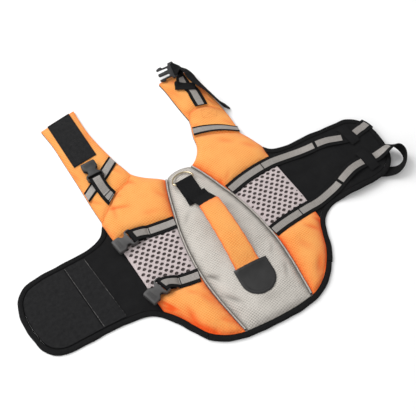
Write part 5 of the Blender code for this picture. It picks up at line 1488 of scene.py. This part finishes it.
def sewRightNeck(look):
    left, right = (resample(smoothLine(look[k]), 26) for k in ("leftEdge", "rightEdge"))
    plan = rowsFrom(right, left)
    top = withHeight(plan, settle(plan))
    keeperPlan = rowsAcross(resample(smoothLine(look["keeper"]), 20), look["keeperWidth"])
    keeperHeight = settle(keeperPlan, look["keeperRoom"])
    place = Matrix.Translation(Vector(look["plugPlace"]) * mm)
    for axis, turn in zip("ZYX", reversed(look["plugTurns"])):
        place = place @ Matrix.Rotation(math.radians(turn), 4, axis)
    width, radius = jacket["webbingWidth"], look["barRadius"]
    columns = np.linspace(-width / 2, width / 2, stripColumns)
    turned = np.array([[tuple(place @ Vector((radius * math.cos(a) * mm, y * mm,
                                              (buckles["plugThick"] / 2 + radius * math.sin(a)) * mm)) / mm)
                        for y in columns] for a in np.radians(np.linspace(-90, 90, 15))])
    across = place.to_3x3() @ Vector((0, 1, 0))
    turn = math.degrees(math.atan2(across.y, across.x)) % 360, math.degrees(math.asin(across.z))
    under, over = ((*turned[k, 3], *turn) for k in (0, -1))
    rise = freeStrip([(*middleOf(top)[-1], 177, 0)] + look["riser"] + [under], width)
    free = freeStrip([over] + look["tail"], width)
    strip = np.concatenate([top, rise[1:-1], turned, free[1:]])
    keeperHeight = liftedOver(keeperPlan, keeperHeight, strip[:len(top) + 10], look["keeperRoom"])
    keeper = stripPiece("keeperNeck", "keeper_neck", withHeight(keeperPlan, keeperHeight),
                        look["keeperThick"], "blackCloth")
    addPlug("plugNeck", "plug_neck", place)
    strip = np.concatenate([strip, hemOf(strip, look["hem"], look["hemRadius"])])
    strap = webbingPiece("neckStrapWebbingRight", "neck_strap_webbing_right", strip)
    tape = sewTape("neckWebbingTapeRight", "neck_webbing_tape_right", strip, look["tapeStart"],
                   reachOf(strip[:len(top) + 8], look["tapeEnd"], 1))
    corners = np.array(look["stitchBox"], float)
    for a, b in ((0, 1), (1, 2), (2, 3), (3, 0), (0, 2), (1, 3)):
        sewRow("orangeThread", np.array([corners[a], corners[b]]), 3.0, 2.2, 0.26, 0.05)


sewRightNeck(rightNeck)
print("right fittings sewn")

# tab, ring, handle and its patch

tabAndHandle = {
    "tabWidth": 34.0, "tabLine": [(-6.5, 84.0), (-6.0, 93.0)], "ringBar": (-4.5, 134.5), "wire": 3.2,
    "ringHalf": 20.0, "ringDepth": 21.0, "ringTilt": -15.0, "bowStart": 3.5,
    # the bend between the straight side and the bow: in from the ring's half width, up from the straight side
    "ringCorner": [(3.6, 0.0), (2.0, 0.25), (1.0, 1.0), (0.4, 2.2)],
    "front": 68.0, "rear": -73.0, "halfWidth": [(-75, 23.0), (-30, 21.6), (68, 19.3)], "footHalf": 17.5,
    "body": [(-75, 2.0), (-62, 2.8), (-48, 5.0), (60, 5.4), (68, 4.4)],
    "shift": [(-75, -2.0), (68, 4.5), (100, -1.0)],
    # y, gap under the handle
    "lift": [(-75, 0), (-62, 0.2), (-52, 3), (-38, 8), (-15, 13), (15, 16), (45, 16.5), (60, 15.5),
             (69, 13.5), (78, 8.0), (86, 2.6), (90, 0), (100, 0)],
    "patchRadius": 31.5, "patchTop": -65.0, "patchRound": -92.0, "patchTurn": -3.5, "patchMiddle": 2.5,
    "patchThick": 1.4, "patchSeamShare": 0.955,
}


def addTabAndRing(look):
    plan = rowsAcross(resample(np.array(look["tabLine"]), 5), look["tabWidth"])
    hinge = np.array(next(j for j in frame["joints"] if j["name"] == "ring_hinge")["pos_m"]) / mm
    points = loopedStrip(plan, look["ringBar"], unitOf(90), hinge[2], look["wire"] / 2 + 0.45, 2.0,
                         look["tabWidth"])[0]
    webbingPiece("ringTab", "ring_tab", points)

    half, bowStart = look["ringHalf"], look["bowStart"]
    bow = [(-half * math.cos(a), bowStart + (look["ringDepth"] - bowStart) * math.sin(a))
           for a in np.radians(np.linspace(0, 180, 41))]
    corner = [(half - inward, up) for inward, up in look["ringCorner"]]
    straight = [(x, 0.0) for x in np.linspace(half - 6, 6 - half, 9)]
    path = [(-x, y) for x, y in corner] + bow + corner[::-1] + straight
    spots = np.array([(x, y, 0) for x, y in path])
    along = np.roll(spots, -1, axis=0) - np.roll(spots, 1, axis=0)
    along /= np.linalg.norm(along, axis=1)[:, None]
    side = np.column_stack((along[:, 1], -along[:, 0], np.zeros(len(spots))))
    up = np.array((0, 0, 1.0))
    angles = np.radians(np.arange(0, 360, 22.5))
    rings = np.stack([spots + look["wire"] / 2 * (math.cos(a) * side + math.sin(a) * up)
                      for a in angles], axis=1)
    tilt = math.radians(look["ringTilt"])
    turn = np.array([(1, 0, 0), (0, math.cos(tilt), -math.sin(tilt)), (0, math.sin(tilt), math.cos(tilt))])
    verts = rings.reshape(-1, 3) @ turn.T + (*look["ringBar"], hinge[2])
    addPiece("dRing", verts, tubeFaces(*rings.shape[:2], closed=True), "platedRing", "d_ring", sharp=80,
             carries=False, body="ring")


def sewHandle(look):
    ys = np.linspace(100, look["front"] + 0.4, 18)
    middle = fromTable(look["shift"], ys)
    middle = np.stack([middle, ys], axis=1)
    foot = rowsFrom(middle - (look["footHalf"], 0), middle + (look["footHalf"], 0))
    footHeight = settle(foot, lieGap + 0.2) + fromTable(look["lift"], ys)[:, None]
    webbing = webbingPiece("handleWebbing", "handle_webbing", withHeight(foot, footHeight))

    ys = np.linspace(look["front"], look["rear"], 62)
    run = look["front"] - ys
    around = np.radians(np.linspace(-90, 90, 25))
    half = fromTable(look["halfWidth"], ys[::-1])[::-1] + 0.3 * np.sin(np.linspace(0, 3.1, len(ys)))
    gather = np.exp(-run / 7.0) + np.exp(-(run[-1] - run) / 9.0)
    half = half + 0.3 * np.sin(run / 3.4) - 0.9 * np.exp(-run / 4.0)
    middle = fromTable(look["shift"], ys)
    shares = np.sin(around)
    plan = np.stack([np.stack([middle + c * half, ys], axis=1) for c in shares], axis=1)
    low = settle(plan) + fromTable(look["lift"], ys)[:, None]
    body = fromTable(look["body"], ys)
    bulge = (1 - np.abs(shares)**2.6)**0.5
    top = low + body[:, None] * (0.52 + 0.5 * bulge)[None, :]
    wrinkle = gather[:, None] * 0.55 * np.sin(shares[None, :] * 11 + run[:, None] * 0.22)
    drift = 0.55 * grain3(plan, 14, 9.0) + 0.35 * np.sin(run / 9.0)[:, None] * np.cos(shares * 2.2)[None, :]
    top = top + (wrinkle + drift) * bulge[None, :]
    low = low + body[:, None] * (0.46 * (1 - bulge))[None, :]
    # painted shade: the sleeve is painted darker at its gathered ends and along its two sides where it turns
    # under
    fold = 0.55 * gather[:, None] + 0.9 * np.abs(shares)[None, :]**10 + np.zeros_like(top)
    sleeve = closedPanel("handleSleeve", plan, low, top, "orangeDobby", "handle_sleeve", fold, sharp=60)

    radius, roundAt = look["patchRadius"], look["patchRound"]
    rows = [(y, radius) for y in np.linspace(look["patchTop"], roundAt, 14)]
    rows += [(roundAt - radius * math.sin(a), radius * math.cos(a))
             for a in np.radians(np.linspace(5, 80, 18))]
    turn = math.radians(look["patchTurn"])
    middles = [(look["patchMiddle"] - (y - look["patchTop"]) * math.sin(turn), y) for y, wide in rows]
    across = np.array((math.cos(turn), math.sin(turn)))
    plan = np.array([[middle + c * wide * across for c in np.linspace(-1, 1, 29)]
                     for middle, (y, wide) in zip(middles, rows)])
    base = settle(plan, lieGap, 20)
    rim = rimPoints(plan)
    away = awayFrom(np.vstack([rim, rim[:1]]), plan)[0]
    border = 0.55 * np.exp(-((away - 3.6) / 1.0)**2) - 0.5 * np.exp(-away / 0.8)
    # painted shade: a dark ring at the inner foot of the raised border
    shade = 0.8 * np.exp(-((away - 5.6) / 0.7)**2)
    patch = closedPanel("handlePatch", plan, base, base + look["patchThick"] + border, "coatedVinyl",
                        "handle_patch", shade)
    sewRound(plan, look["patchSeamShare"], 3.0, 2.2, 0.26, 0.05)


addTabAndRing(tabAndHandle)
sewHandle(tabAndHandle)
print("handle and ring made")


# a stitch's section, five places round it, and how far its two ends and its two rings lie along it
stitchShape = {"section": ((1, 0), (0.6, 0.85), (-0.6, 0.85), (-1, 0), (0, -0.7)), "tip": 0.6,
               "rings": (0.15, 0.85)}


def makeStitches(look):
    around = len(look["section"])
    for thread, rows in stitches.items():
        verts, faces = [], []
        for start, end, radius in rows:
            along = (end - start) / max(1e-9, np.linalg.norm(end - start))
            side = np.cross(along, (0, 0, 1.0))
            side /= max(1e-9, np.linalg.norm(side))
            up = np.cross(side, along)
            first, low, high = len(verts) + np.array((0, 1, 1 + around))
            verts.append(start - along * radius * look["tip"])
            for share in look["rings"]:
                spot = start + (end - start) * share
                verts += [spot + radius * (side * c + up * s) for c, s in look["section"]]
            verts.append(end + along * radius * look["tip"])
            for k in range(around):
                n = (k + 1) % around
                faces += [(first, low + k, low + n), (high + around, high + n, high + k),
                          (low + k, high + k, high + n, low + n)]
        addPiece("stitches" + thread[:1].upper() + thread[1:], np.array(verts), faces, thread, sharp=80,
                 carries=False)


makeStitches(stitchShape)
print("stitched")
